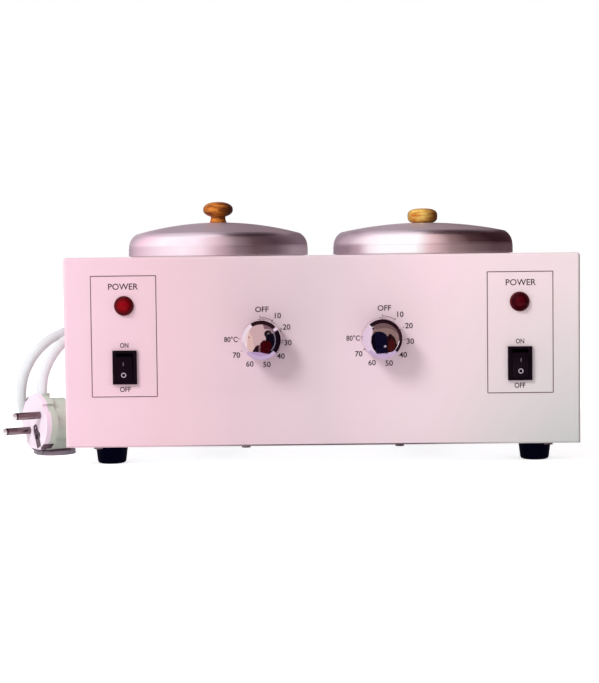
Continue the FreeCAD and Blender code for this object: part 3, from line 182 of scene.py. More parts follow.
# %% [markdown]
# ## Outlines with rounded corners
# Pressed, moulded and turned parts have no truly sharp corners: a small rounding is what catches the light.
# Bevelling the finished solid could do it, but on a turned part it is simpler to round the outline first. At
# each corner the helper finds the circle that touches both sides, and walks along it.

# %% Rounded outline


def rounded(points, steps=6):
    """The outline through (radius, height, rounding) points, with arcs of that rounding at its corners."""
    spots = [Vector(point[:2]) for point in points]
    line = []
    for number, spot in enumerate(spots):
        rounding = points[number][2] if len(points[number]) > 2 else 0
        if not rounding or number in (0, len(spots) - 1):
            line.append(spot)
            continue
        before = (spots[number - 1] - spot).normalized()
        after = (spots[number + 1] - spot).normalized()
        half = before.angle(after) / 2
        reach = rounding / math.tan(half)
        centre = spot + (before + after).normalized() * rounding / math.sin(half)
        start = spot + before * reach - centre
        sweep = math.pi - 2 * half
        side = 1 if before.x * after.y - before.y * after.x < 0 else -1
        for step in range(steps + 1):
            angle = side * sweep * step / steps
            turned = Vector(
                (
                    start.x * math.cos(angle) - start.y * math.sin(angle),
                    start.x * math.sin(angle) + start.y * math.cos(angle),
                )
            )
            line.append(centre + turned)
    return line


print("a right angle with a rounding becomes", len(rounded([(0, 0), (1, 0, 0.2), (1, 1)])) - 2, "points")

# %% [markdown]
# ## Turning a shape on a lathe
# Lids, wooden knobs, dial knobs, lenses and plug pins are all round about one axis. On the real object they are
# spun, turned or moulded in round tools, and a lathe is the natural way here too: an outline of radius and
# height is spun about Z. A full spin has to merge its last copy with its first, and points on the axis fall
# together, so doubles are removed. Spin can leave the faces inside out, so their normals are worked out anew.

# %% Lathe


def lathe(outline, turns=96):
    """A bmesh turned about Z from an outline of (radius, height) points."""
    shape = bmesh.new()
    line = [shape.verts.new((point[0], 0, point[1])) for point in outline]
    for first, second in zip(line, line[1:]):
        shape.edges.new((first, second))
    bmesh.ops.spin(
        shape,
        geom=shape.verts[:] + shape.edges[:],
        cent=(0, 0, 0),
        axis=(0, 0, 1),
        angle=math.tau,
        steps=turns,
        use_merge=True,
    )
    bmesh.ops.remove_doubles(shape, verts=shape.verts, dist=1e-6)
    bmesh.ops.recalc_face_normals(shape, faces=shape.faces)
    return shape


trial = lathe([(1, 0), (1, 1)], 12)
print("an upright line turned in 12 steps gives", len(trial.faces), "faces")
trial.free()

# %% [markdown]
# ## Boxes and merging
# A small bar, such as a mark on a switch, is a cube scaled to size with all its edges bevelled. Where several
# shapes belong to one piece, such as two pins or a line of letters, their bmeshes are poured into one. A last
# helper turns a shape made lying flat so that it faces the front of the panel.

# %% Boxes and merging


def round_edges(shape, edges, rounding, steps):
    """Bevels edges of a bmesh to a round of the given size."""
    bmesh.ops.bevel(
        shape, geom=edges, offset=rounding, segments=steps, profile=0.5, affect="EDGES", material=-1
    )


def rounded_box(low, high, rounding, steps=3):
    """A bmesh box with all its edges rounded."""
    shape = bmesh.new()
    size = Vector(high) - Vector(low)
    centre = (Vector(high) + Vector(low)) / 2
    bmesh.ops.create_cube(shape, size=1, matrix=Matrix.Translation(centre) @ Matrix.Diagonal((*size, 1)))
    round_edges(shape, shape.edges[:], rounding, steps)
    return shape


def merge(*shapes):
    """One bmesh of several."""
    whole = bmesh.new()
    for shape in shapes:
        data = bpy.data.meshes.new("part")
        shape.to_mesh(data)
        shape.free()
        whole.from_mesh(data)
        bpy.data.meshes.remove(data)
    return whole


# Local +Z to the front of the panel, with local +Y upwards.
FACING_FRONT = Matrix.Rotation(math.radians(90), 4, "X")
two_boxes = merge(rounded_box((0, 0, 0), (1, 1, 1), 0.1), rounded_box((2, 0, 0), (3, 1, 1), 0.1))
print("two rounded boxes in one bmesh:", len(two_boxes.faces), "faces")
two_boxes.free()

# %% [markdown]
# ## Colours and one-colour finishes
# Most small parts are one colour all over: zinc, rubber, moulded plastic. For them Blender's principled shader
# is enough, with a base colour and a roughness, and with metallic for bare metal. Screens store colours on a
# curve, while light adds up in a straight line, so each colour is written as 0 to 255 and turned into linear
# light before it goes into a socket.

# %% Colours and plain finishes


def linear(red, green, blue):
    """A colour of 0 to 255 screen values in linear light."""
    values = [value / 255 for value in (red, green, blue)]
    return [v / 12.92 if v <= 0.04045 else ((v + 0.055) / 1.055) ** 2.4 for v in values] + [1]


def plain(name, colour, rough, metal=0.0, coat=0.0, specular=0.5):
    """A material of one colour."""
    material = bpy.data.materials.new(name)
    material.use_nodes = True
    shader = material.node_tree.nodes["Principled BSDF"]
    shader.inputs["Base Color"].default_value = colour
    shader.inputs["Roughness"].default_value = rough
    shader.inputs["Metallic"].default_value = metal
    shader.inputs["Coat Weight"].default_value = coat
    shader.inputs["Coat Roughness"].default_value = 0.06
    shader.inputs["Specular IOR Level"].default_value = specular
    return material


print("middle grey, 128 on a screen, is", round(linear(128, 128, 128)[0], 3), "in linear light")

# %% [markdown]
# ## Nodes and wires
# A finish that changes over a piece is drawn by a small net of nodes. Two helpers add a node with its values
# and join two sockets, a third finds the principled shader that every net ends in, and a fourth tells where a
# point of the piece lies. It could all be done by hand in the shader editor; written down, the same net can be
# made again for another piece.

# %% Nodes and wires


def node(material, kind, **values):
    """A new shader node with its inputs or settings."""
    item = material.node_tree.nodes.new(kind)
    for name, value in values.items():
        if name in item.inputs:
            item.inputs[name].default_value = value
        else:
            setattr(item, name, value)
    return item


def wire(material, start, stop):
    """Joins an output to an input."""
    material.node_tree.links.new(start, stop)


def shader_of(material):
    """The principled shader of a material."""
    return material.node_tree.nodes["Principled BSDF"]


def place_on(material):
    """Where a point of the piece lies: the outputs X, Y and Z of one node."""
    place = node(material, "ShaderNodeTexCoord")
    apart = node(material, "ShaderNodeSeparateXYZ")
    wire(material, place.outputs["Object"], apart.inputs["Vector"])
    return apart.outputs


trial = plain("trial", linear(128, 128, 128), 0.5)
wire(trial, place_on(trial)["X"], shader_of(trial).inputs["Roughness"])
print("a rough-to-smooth trial has", len(trial.node_tree.nodes), "nodes")
bpy.data.materials.remove(trial)

# %% [markdown]
# ## Sums, ranges and mixes
# Three questions come back in every net: how far along is this point, how much of the second colour belongs
# there, and what is the mix? A math node, a map-range node and a mix node answer them, and a ramp strings
# several colours along one range. Each helper takes the output of the one before, so that a finish reads like
# a formula.

# %% Sums, ranges and mixes


def reckoned(tree, operation, first, second=0.0):
    """The output of a math node for two outputs or numbers."""
    item = tree.nodes.new("ShaderNodeMath")
    item.operation = operation
    for socket, value in zip(item.inputs, (first, second)):
        if isinstance(value, (int, float)):
            socket.default_value = value
        else:
            tree.links.new(value, socket)
    return item.outputs["Value"]


def scaled(tree, value, low, high, start=0.0, stop=1.0):
    """low where the value is at its start, high where it is at its stop."""
    spread = tree.nodes.new("ShaderNodeMapRange")
    spread.inputs["From Min"].default_value = start
    spread.inputs["From Max"].default_value = stop
    spread.inputs["To Min"].default_value = low
    spread.inputs["To Max"].default_value = high
    tree.links.new(value, spread.inputs["Value"])
    return spread.outputs["Result"]


def mixed(tree, share, first, second):
    """The first colour where the share is 0, the second where it is 1."""
    item = tree.nodes.new("ShaderNodeMix")
    item.data_type = "RGBA"
    tree.links.new(share, item.inputs["Factor"])
    for socket, value in zip((item.inputs["A"], item.inputs["B"]), (first, second)):
        if isinstance(value, list):
            socket.default_value = value
        else:
            tree.links.new(value, socket)
    return item.outputs["Result"]


def ramp_of(tree, value, stops):
    """A ramp of (position, screen colour) stops over a value of 0 to 1."""
    ramp = tree.nodes.new("ShaderNodeValToRGB")
    elements = ramp.color_ramp.elements
    while len(elements) < len(stops):
        elements.new(0.5)
    for element, (position, colour) in zip(elements, stops):
        element.position = position
        element.color = linear(*colour)
    tree.links.new(value, ramp.inputs["Fac"])
    return ramp.outputs["Color"]


trial = plain("trial", linear(128, 128, 128), 0.5)
share = scaled(trial.node_tree, place_on(trial)["X"], 0, 1, -160 * MM, 160 * MM)
ramp_of(trial.node_tree, share, ((0, (0, 0, 0)), (1, (255, 255, 255))))
print("black to white across the box takes", len(trial.node_tree.nodes), "nodes")
bpy.data.materials.remove(trial)

# %% [markdown]
# ## A surface that isn't quite smooth
# Powder coat has a faint pebbling and spun metal has fine turning lines. Neither is deep enough to model, so a
# height pattern goes through a bump node, which only leans the normals. The distance is the real height of the
# relief in metres, so it stays true to the object's size.

# %% Fine relief


def add_bump(material, height, strength, distance):
    """Raises the surface by a height output."""
    bump = node(material, "ShaderNodeBump", Strength=strength, Distance=distance)
    wire(material, height, bump.inputs["Height"])
    wire(material, bump.outputs["Normal"], shader_of(material).inputs["Normal"])


def add_grain(material, scale, strength, distance):
    """A fine even noise on the surface."""
    place = node(material, "ShaderNodeTexCoord")
    noise = node(material, "ShaderNodeTexNoise", Scale=scale, Detail=3.0)
    wire(material, place.outputs["Object"], noise.inputs["Vector"])
    add_bump(material, noise.outputs["Fac"], strength, distance)


def dress(material, *names):
    """Gives nodes of the frame a finish, and says so."""
    for name in names:
        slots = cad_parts[name].data.materials
        slots.clear()
        slots.append(material)
    print(f"{material.name}: {', '.join(names)}")


trial = plain("trial", linear(128, 128, 128), 0.5)
add_grain(trial, 1000, 0.1, 0.1 * MM)
print("grain adds", len(trial.node_tree.nodes) - 2, "nodes to a plain finish")
bpy.data.materials.remove(trial)

# %% [markdown]
# ## Painted housing: painted light on the front panel
# The shell is folded steel sheet with a pale powder coat. Over the front the light pales its pink from left to
# right and leaves a dull grey-green shade low on the right, where the light falls off. One flat colour would
# look like cardboard, and lamps alone would also change every other piece, so this light and shade are painted
# into the coat's colour by place: a ramp along X, and a shade colour whose share is the product of two ranges.

# %% Painted light and shade on the front panel
# Painted light: the coat's pink as the light leaves it across the front, and a painted shade low on the right.
PAINTED_LIGHT_STOPS = (
    (0.0, (247, 212, 226)),
    (0.2, (237, 206, 215)),
    (0.34, (228, 204, 212)),
    (0.5, (229, 211, 217)),
    (0.72, (255, 230, 238)),
    (1.0, (251, 238, 240)),
)
PAINT_DULL_SHADE = (204, 214, 210)  # low on the right
PANEL_SIDES = (-160 * MM, 160 * MM)
SHADE_FROM_LEFT = (20 * MM, 150 * MM)  # where the dull tone begins and where it is full
SHADE_FROM_BELOW = (10 * MM, 115 * MM)  # where it is full and where it ends
SHADE_SHARE = 0.85


def panel_painted_light(tree, at):
    """Painted light: pink that pales across the panel, with a painted grey-green shade low on the right."""
    along = scaled(tree, at["X"], 0, 1, *PANEL_SIDES)
    right = scaled(tree, at["X"], 0, 1, *SHADE_FROM_LEFT)
    low = scaled(tree, at["Z"], SHADE_SHARE, 0, *SHADE_FROM_BELOW)
    dull = reckoned(tree, "MULTIPLY", right, low)
    return mixed(tree, dull, ramp_of(tree, along, PAINTED_LIGHT_STOPS), linear(*PAINT_DULL_SHADE))


print("the panel's tone runs through", len(PAINTED_LIGHT_STOPS), "colours and one dull one")

# %% [markdown]
# ## Painted housing: painted shade at its edges
# Where the sheet is bent back at the right it turns away from the light and looks grey, and along the bottom
# the edge lies in shadow as a thin dark line, strongest near the middle. Both are about a millimetre wide. A
# real fold and lower edge could be modelled, but the shell's shape is fixed, so two narrow bands of painted
# shade are mixed in by place.

# %% Painted shade at the front panel's edges
# Painted shade: grey where the bend turns from the light, dark where the lower edge lies in shadow.
PAINT_BEND_SHADE = (176, 168, 170)
PAINT_EDGE_SHADE = (70, 52, 60)
BEND_X = (158.6 * MM, 159.4 * MM)  # where the grey begins and where it is full
EDGE_RISE = (0.7 * MM, 1.1 * MM)  # above the shell's lower edge, where the dark line is full and where it ends
EDGE_MIDDLE = 10 * MM
EDGE_SPAN = (45 * MM, 110 * MM)  # from its middle, where the line is strong and where it is faint


def panel_edges(tree, at, colour):
    """Adds painted shade: the grey bend at the right and the dark line along the lower edge."""
    front = scaled(tree, at["Y"], 1, 0, FRONT + 1.6 * MM, FRONT + 2 * MM)
    bend = scaled(tree, at["X"], 0, 0.8, *BEND_X)
    bent = mixed(tree, reckoned(tree, "MULTIPLY", front, bend), colour, linear(*PAINT_BEND_SHADE))
    off_centre = reckoned(tree, "ABSOLUTE", reckoned(tree, "SUBTRACT", at["X"], EDGE_MIDDLE))
    share = scaled(tree, off_centre, 0.95, 0.25, *EDGE_SPAN)
    edge = scaled(tree, at["Z"], 1, 0, *(shell_low[2] + rise for rise in EDGE_RISE))
    return mixed(tree, reckoned(tree, "MULTIPLY", share, edge), bent, linear(*PAINT_EDGE_SHADE))


print(f"the dark edge lies up to {(shell_low[2] + EDGE_RISE[1]) / MM:.1f} mm above the floor")

# %% [markdown]
# ## Painted housing: the finish
# The front's painted light and the painted shade of its edges meet in one material. Behind the front it fades
# to a single pink, because the sides, the top and the back are lit evenly. A faint grain breaks up the shine,
# as powder coat does.

# %% Powder coat
PAINT_EVEN = (242, 216, 224)
PAINT_FADE = (2 * MM, 60 * MM)  # behind the front, where the toned paint ends and the even paint is full


def paint():
    """Pale pink powder coat, with painted light and shade over the front panel and even behind it."""
    material = plain("pink_powder_coat", linear(*PAINT_EVEN), 0.42)
    tree, at = material.node_tree, place_on(material)
    panel = panel_edges(tree, at, panel_painted_light(tree, at))
    behind = scaled(tree, at["Y"], 0, 1, *(FRONT + depth for depth in PAINT_FADE))
    colour = mixed(tree, behind, panel, linear(*PAINT_EVEN))
    wire(material, colour, shader_of(material).inputs["Base Color"])
    add_grain(material, 1800, 0.06, 0.2 * MM)
    return material


PAINT = paint()
dress(PAINT, "housing_shell")

# %% [markdown]
# ## Screws, nuts and feet
# Fasteners and the base plate are zinc-plated steel: a light grey metal that is half dull. The screw heads
# under the base never see the light, so theirs is darker. The feet are black rubber, and rubber is rough and
# reflects next to nothing. These shapes are small and plain, so they keep the model's own meshes and only get
# a finish.

# %% Zinc and rubber
ZINC = plain("zinc_plated_steel", linear(190, 188, 192), 0.34, metal=1.0)
DARK_ZINC = plain("dark_zinc", linear(110, 98, 104), 0.4, metal=1.0)
RUBBER = plain("black_rubber", linear(3, 2, 24), 0.7, specular=0.02)
dress(DARK_ZINC, "base_screws")
dress(ZINC, "base_plate", "foot_screws", "heater_clamp_bolts", "lamp_nuts", "thermostat_nuts")
dress(ZINC, "well_stud_nuts", "well_studs", "earth_screw", "left_lid_screw", "right_lid_screw")
dress(ZINC, "left_dial_shaft", "right_dial_shaft")
dress(RUBBER, "front_left_foot", "front_right_foot", "rear_left_foot", "rear_right_foot")

# %% [markdown]
# ## Spun aluminium
# Lids, pots and wells are discs of aluminium pressed over a turning form, which leaves very fine rings. The
# rings are a noise that changes only with the distance from the axis and with the height, so every point on
# one circle gets the same value. Rings also stretch reflections across themselves: that is anisotropy, and it
# needs a tangent that runs round the axis. Faces that look up can be made duller, as a lid's dome is.

# %% Spun metal
WELL_X = 68.6 * MM  # axis of each well, pot and lid from the middle


def ring_place(material, centre_x):
    """A point's distance from an upright axis and its height, as one vector."""
    place = node(material, "ShaderNodeTexCoord")
    shift = node(material, "ShaderNodeMapping", Location=(-centre_x, -MIDDLE_Y, 0))
    apart = node(material, "ShaderNodeSeparateXYZ")
    across = node(material, "ShaderNodeCombineXYZ")
    reach = node(material, "ShaderNodeVectorMath", operation="LENGTH")
    together = node(material, "ShaderNodeCombineXYZ")
    wire(material, place.outputs["Object"], shift.inputs["Vector"])
    wire(material, shift.outputs["Vector"], apart.inputs["Vector"])
    wire(material, apart.outputs["X"], across.inputs["X"])
    wire(material, apart.outputs["Y"], across.inputs["Y"])
    wire(material, across.outputs["Vector"], reach.inputs[0])
    wire(material, reach.outputs["Value"], together.inputs["X"])
    wire(material, apart.outputs["Z"], together.inputs["Z"])
    return together.outputs["Vector"]


def spun(name, colour, rough, centre_x, matt_top=0.0):
    """Aluminium with fine rings about one upright axis, duller by matt_top where it faces up."""
    material = plain(name, colour, rough, metal=1.0)
    shader = shader_of(material)
    noise = node(material, "ShaderNodeTexNoise", Scale=1600.0, Detail=2.0)
    wire(material, ring_place(material, centre_x), noise.inputs["Vector"])
    add_bump(material, noise.outputs["Fac"], 0.25, 0.04 * MM)
    tangent = node(material, "ShaderNodeTangent", direction_type="RADIAL", axis="Z")
    shader.inputs["Anisotropic"].default_value = 0.4
    shader.inputs["Anisotropic Rotation"].default_value = 0.25
    wire(material, tangent.outputs["Tangent"], shader.inputs["Tangent"])
    if matt_top:
        shape = node(material, "ShaderNodeNewGeometry")
        facing = node(material, "ShaderNodeSeparateXYZ")
        wire(material, shape.outputs["Normal"], facing.inputs["Vector"])
        duller = scaled(material.node_tree, facing.outputs["Z"], rough, rough + matt_top, 0.6, 0.9)
        wire(material, duller, shader.inputs["Roughness"])
    return material


for side, way in SIDES.items():
    metal = spun(f"{side}_pot_metal", linear(226, 220, 222), 0.3, way * WELL_X)
    dress(metal, f"{side}_pot", f"{side}_heating_well")

# %% [markdown]
# ## Parts inside the housing
# Under the shell are band heaters, thermostats, thermal fuses, a terminal block and wires. They show only when
# a pot is lifted or the base is off, so plain finishes are enough: steel, pale heat-resistant plastic, plated
# brass, and sleeves in the usual colours for live, neutral and earth.

# %% Inside
HEATER = plain("heater_steel", linear(170, 164, 156), 0.4, metal=1.0)
PALE = plain("heat_resistant_moulding", linear(222, 216, 202), 0.5)
PIN_METAL = plain("nickel_plated_pin", linear(150, 128, 132), 0.22, metal=1.0)
dress(HEATER, "left_heater_band", "right_heater_band", "left_sensor_bulb", "right_sensor_bulb")
dress(PALE, "terminal_block", "left_thermostat", "right_thermostat")
dress(PALE, "left_thermal_cutout", "right_thermal_cutout")
dress(PIN_METAL, "terminal_screws", "switch_terminals")
SLEEVES = (
    ("brown_sleeve", (110, 62, 34), "live_wires"),
    ("blue_sleeve", (40, 86, 160), "neutral_wires"),
    ("green_sleeve", (60, 130, 52), "earth_wire"),
)
for name, colour, wires in SLEEVES:
    dress(plain(name, linear(*colour), 0.5), wires)

# %% [markdown]
# ## Mains cord: its route
# The cord leaves the rear wall straight, turns left, comes forward round the corner of the box and dips down to
# a tied coil behind it; its other end comes back up beside the first strand and drops into the plug. A cord
# that stiff never turns sharply, so the route is a list of places, in millimetres, that a smooth curve will be
# led by. It could be left to a cloth or rope simulation, but a written route comes out the same every time.

# %% Cord route
CORD_RADIUS = 3.4 * MM
CORD_TO_COIL = [
    (-106, 112, 100),
    (-106, 146, 100),
    (-106, 166, 99.3),
    (-111.2, 184.3, 97.5),
    (-125.3, 198.3, 94.5),
    (-144.5, 203.5, 91),
    (-163.7, 198.3, 87.5),
    (-177.8, 184.3, 84),
    (-183, 165, 81),
    (-184, 142, 79),
    (-182.5, 118, 78),
    (-179, 94, 78.5),
    (-176.8, 75, 80),
    (-176.6, 60, 80.6),
    (-179.2, 45.7, 78.9),
    (-187.5, 32.2, 75),
    (-196.5, 21.4, 65.5),
    (-202.8, 14.6, 52),
    (-204.8, 13, 37.2),
    (-202.8, 17.4, 22.4),
    (-198.2, 27.4, 11.2),
    (-192.5, 41, 5),
    (-187, 56, 3.5),
    (-181, 74, 3.5),
    (-172.5, 96, 3.5),
    (-161, 117, 3.5),
    (-146, 136, 3.5),
    (-135, 156, 3.5),
]
CORD_TO_PLUG = [
    (-117, 126, 13),
    (-134, 124.5, 19.5),
    (-151, 120, 28),
    (-164, 109, 38),
    (-169.5, 94, 49),
    (-169.5, 78, 59),
    (-168.5, 62, 67),
    (-168.5, 46, 73.2),
    (-169.8, 31, 76.5),
    (-173.2, 18.5, 75.4),
    (-177.6, 8, 70.6),
    (-182, -0.3, 63.2),
    (-185.6, -6.2, 53.3),
    (-186.6, -8.8, 41),
    (-186.6, -8.8, 33),
]
print(len(CORD_TO_COIL), "places lead to the coil and", len(CORD_TO_PLUG), "from it to the plug")

# %% [markdown]
# ## Mains cord: the tied coil
# Spare cord is wound by hand and tied. From above the turns run clockwise: one wide turn, a narrower one inside
# it, and then back out over both in a second layer. The list could be copied from a spiral, but a hand-wound
# coil has level turns with short crossings between them, so radius and height step over within half a turn.

# %% Tied coil
COIL_CENTRE = middle("cord_coil")
COIL_TURNS = 3.75
POINTS_PER_TURN = 16
TURN_RADIUS = (38.4 * MM, 31.6 * MM)  # outer and inner turn
TURN_HEIGHT = (3.5 * MM, 10.2 * MM)  # lower and upper layer


def step_over(turns, at):
    """0 before a number of turns and 1 after it, with a slope half a turn long."""
    return min(max((turns - at + 0.25) / 0.5, 0), 1)


def coil_points():
    """Places along the coil: outer turn, inner turn, inner turn above it, outer turn above."""
    total = round(COIL_TURNS * POINTS_PER_TURN)
    points = []
    for step in range(total + 1):
        angle = math.pi - math.tau * step / POINTS_PER_TURN
        turns = step / total * 4
        inward = step_over(turns, 1) - step_over(turns, 3)
        raised = step_over(turns, 2)
        radius = TURN_RADIUS[0] + (TURN_RADIUS[1] - TURN_RADIUS[0]) * inward
        height = TURN_HEIGHT[0] + (TURN_HEIGHT[1] - TURN_HEIGHT[0]) * raised
        x = COIL_CENTRE.x + radius * math.cos(angle)
        y = COIL_CENTRE.y + radius * math.sin(angle)
        points.append((x, y, height))
    return points


print(COIL_TURNS, "turns,", " and ".join(f"{radius / MM:.1f}" for radius in TURN_RADIUS), "mm in radius")

# %% [markdown]
# ## Mains cord: one curve
# Soft white plastic over three wires, 6.8 mm thick. A cord is best kept as a curve with a round bevel: it has
# no seams, it bends evenly, and its length can be measured. A NURBS spline is drawn towards its points without
# passing through them, so small unevenness in the route is ironed out, and with both ends pinned it still
# starts and stops where it should.

# %% Cord curve
CORD_WHITE = plain("white_cord", linear(230, 238, 239), 0.5, specular=0.2)


def cord_route():
    """All the places that lead the cord, in metres."""
    first = [Vector(point) * MM for point in CORD_TO_COIL]
    last = [Vector(point) * MM for point in CORD_TO_PLUG]
    return first + [Vector(point) for point in coil_points()] + last


def make_cord(route):
    """A round cord led by the route, in place of the model's three lengths of it."""
    data = bpy.data.curves.new("mains_lead", "CURVE")
    data.dimensions = "3D"
    data.bevel_depth = CORD_RADIUS
    data.bevel_resolution = 6
    data.resolution_u = 6
    data.use_fill_caps = True
    spline = data.splines.new("NURBS")
    spline.points.add(len(route) - 1)
    for spot, point in zip(spline.points, route):
        spot.co = (*point, 1)
    spline.order_u = 3
    spline.use_endpoint_u = True
    lead = add_object("mains_lead", data, "housing", CORD_WHITE)
    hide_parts("mains_cord", "cord_coil", "plug_cord")
    return lead


route = cord_route()
mains_lead = make_cord(route)
legs = [(second - first).length for first, second in zip(route, route[1:])]
print(f"mains_lead: {len(route)} places, {sum(legs):.2f} m from place to place")

# %% [markdown]
# ## Plug and strain relief: moulded plastic
# The plug is two mouldings of white plastic, a front and a grip behind it, with a darker plate underneath. The
# grip lies in shade, painted in as grey-green, and a thin line of painted shadow lies in the joint above the
# plate. The change of colour follows the plug's own axis, not the world's, so the distance behind its face is a
# dot product of the place with the plug's direction. The strain relief and the strap round the coil are plain.

# %% Plug plastic
PLUG_TURN = math.radians(36)
PLUG_BACK = Vector((math.cos(PLUG_TURN), math.sin(PLUG_TURN), 0))  # from the plug's face to its back
PLUG_FACE = Vector((-0.191, -0.012, 0.0215))  # middle of the plug's face


def along_plug(material):
    """How far a point lies behind the plug's face."""
    place = node(material, "ShaderNodeTexCoord")
    along = node(material, "ShaderNodeVectorMath", operation="DOT_PRODUCT")
    along.inputs[1].default_value = PLUG_BACK
    wire(material, place.outputs["Object"], along.inputs[0])
    return reckoned(material.node_tree, "SUBTRACT", along.outputs["Value"], PLUG_FACE.dot(PLUG_BACK))


PLUG_FRONT = (246, 234, 246)
# The grip's grey-green is painted shade, and the joint's dark line is a painted shadow.
PLUG_GRIP_SHADE = (199, 213, 198)
PLUG_JOINT_SHADOW = (96, 76, 88)
PLUG_PLATE = (132, 122, 132)
SEAM_BACK = (3.2 * MM, 3.5 * MM)  # behind the plug's face, where the white ends
JOINT_TOP = (3.9 * MM, 4.3 * MM)  # above the floor, up to which the plug's joint is dark
PLATE_TOP = (2.8 * MM, 3.1 * MM)  # above the floor, up to which its plate reaches


def plug_plastic():
    """White front, painted grey-green shade behind the seam, painted shadow in the joint, and a darker plate
    below.
    """
    material = plain("white_plug", linear(*PLUG_FRONT), 0.4, specular=0.3)
    tree, height = material.node_tree, place_on(material)["Z"]
    grip = scaled(tree, along_plug(material), 0, 1, *SEAM_BACK)
    colour = mixed(tree, grip, linear(*PLUG_FRONT), linear(*PLUG_GRIP_SHADE))
    joint = scaled(tree, height, 1, 0, *JOINT_TOP)
    colour = mixed(tree, joint, colour, linear(*PLUG_JOINT_SHADOW))
    plate = scaled(tree, height, 1, 0, *PLATE_TOP)
    colour = mixed(tree, plate, colour, linear(*PLUG_PLATE))
    wire(material, colour, shader_of(material).inputs["Base Color"])
    return material


dress(plug_plastic(), "plug_body")
dress(plain("white_gland", linear(228, 222, 226), 0.45), "cord_gland")
dress(plain("black_strap", linear(34, 32, 36), 0.6), "cord_tie")

# %% [markdown]
# ## Plug pins
# Two round pins of plated brass, 4.8 mm thick and 19 mm apart, with domed ends. Each is turned from an outline
# that starts with a thinner root inside the plug, so that the pin seems to pass into the plastic. A highlight
# is painted on the domed end, and a dark ring of painted shade lies behind it.

# %% Plug pins
# A ring of painted shade, and a painted highlight on the tip, placed by the distance from the plug's face.
PIN_SHADE_RING = (-16.6 * MM, -16 * MM)  # negative, because the pins stand in front of the plug's face
PIN_HIGHLIGHT = (-17.6 * MM, -17.2 * MM)


def pin_plating():
    """Dull plating with a ring of painted shade behind a painted highlight on the end."""
    material = plain("pin_plating", linear(150, 128, 132), 0.22, metal=1.0)
    tree = material.node_tree
    along = along_plug(material)
    ring = scaled(tree, along, 1, 0, *PIN_SHADE_RING)
    ringed = mixed(tree, ring, linear(122, 104, 108), linear(30, 12, 20))
    tip = scaled(tree, along, 1, 0, *PIN_HIGHLIGHT)
    colour = mixed(tree, tip, ringed, linear(206, 200, 204))
    wire(material, colour, shader_of(material).inputs["Base Color"])
    return material


PLUG_PLACE = (
    Matrix.Translation(PLUG_FACE)
    @ Matrix.Rotation(PLUG_TURN, 4, "Z")
    @ Matrix.Rotation(-PLUG_TURN, 4, "X")
    @ Matrix.Rotation(math.radians(-90), 4, "Y")
)  # local +Z out of the face, local +Y along the row of pins, local +X upwards
# Radius, reach out of the plug's face and rounding, in millimetres.
PIN_OUTLINE = ((0, -4, 0), (1.8, -4, 0), (1.8, 0, 0), (2.4, 0, 0), (2.4, 19, 1.4), (0, 19, 0))
PIN_SPACING = 9.5 * MM  # from the plug's middle


def make_pins():
    """Both pins, as one piece on the plug's face."""
    line = rounded([tuple(value * MM for value in point) for point in PIN_OUTLINE], 8)
    pins = []
    for way in SIDES.values():
        pin = lathe(line, 40)
        pin.transform(Matrix.Translation((0, way * PIN_SPACING, 0)))
        pins.append(pin)
    whole = merge(*pins)
    whole.transform(PLUG_PLACE)
    pair = add_object("round_pins", mesh_from("round_pins", whole, 35), "housing", pin_plating())
    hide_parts("plug_pins")
    return tell(pair)


round_pins = make_pins()

# %% [markdown]
# ## Earth contact in the plug's face
# A strip of thin metal, wide in the middle, lies round the hole that takes the socket's earth pin, held by one
# rivet. A flat curve suits it: the outer outline and two inner circles are three closed splines, and Blender
# fills the space between them, holes and all. The hole itself is a dark disc of painted shade just under the
# strip. A flat curve is made a mesh before it is put in its place.

# %% Earth contact
BLACK = plain("black_moulding", linear(19, 5, 17), 0.25, specular=0.05)
CONTACT_METAL = plain("dull_contact", linear(92, 72, 84), 0.45, metal=0.8)
# Corners of the strip, in millimetres up from the plug's middle and across.
STRIP_OUTLINE = ((-17.0, -2.6), (-17.0, 2.6), (-5.0, 3.0), (-1.6, 1.8), (-1.6, -1.8), (-5.0, -3.0))
EARTH_HOLE = -9.7  # millimetres up from the plug's middle, so below it
STRIP_TURN = Matrix.Rotation(math.radians(-14), 4, "Z")


def disc_at(x, up, radius):
    """Corners of a disc."""
    angles = [math.tau * number / 24 for number in range(24)]
    return [(x + radius * math.cos(angle), up + radius * math.sin(angle)) for angle in angles]


def shape_of_curve(data):
    """A bmesh of a flat curve or a text, which is used up."""
    item = bpy.data.objects.new(data.name, data)
    mesh = bpy.data.meshes.new_from_object(item)
    shape = bmesh.new()
    shape.from_mesh(mesh)
    bpy.data.objects.remove(item)
    bpy.data.curves.remove(data)
    bpy.data.meshes.remove(mesh)
    return shape


def earth_strip():
    """The strip with the hole and the rivet cut out of it."""
    data = bpy.data.curves.new("strip", "CURVE")
    data.dimensions = "2D"
    data.fill_mode = "BOTH"
    data.extrude = 0.15 * MM
    for points in (STRIP_OUTLINE, disc_at(EARTH_HOLE, 0, 2.0), disc_at(-3.6, 0, 0.9)):
        spline = data.splines.new("POLY")
        spline.points.add(len(points) - 1)
        spline.use_cyclic_u = True
        for spot, (x, y) in zip(spline.points, points):
            spot.co = (x * MM, y * MM, 0, 1)
    shape = shape_of_curve(data)
    shape.transform(PLUG_PLACE @ Matrix.Translation((0, 0, 0.18 * MM)) @ STRIP_TURN)
    return shape


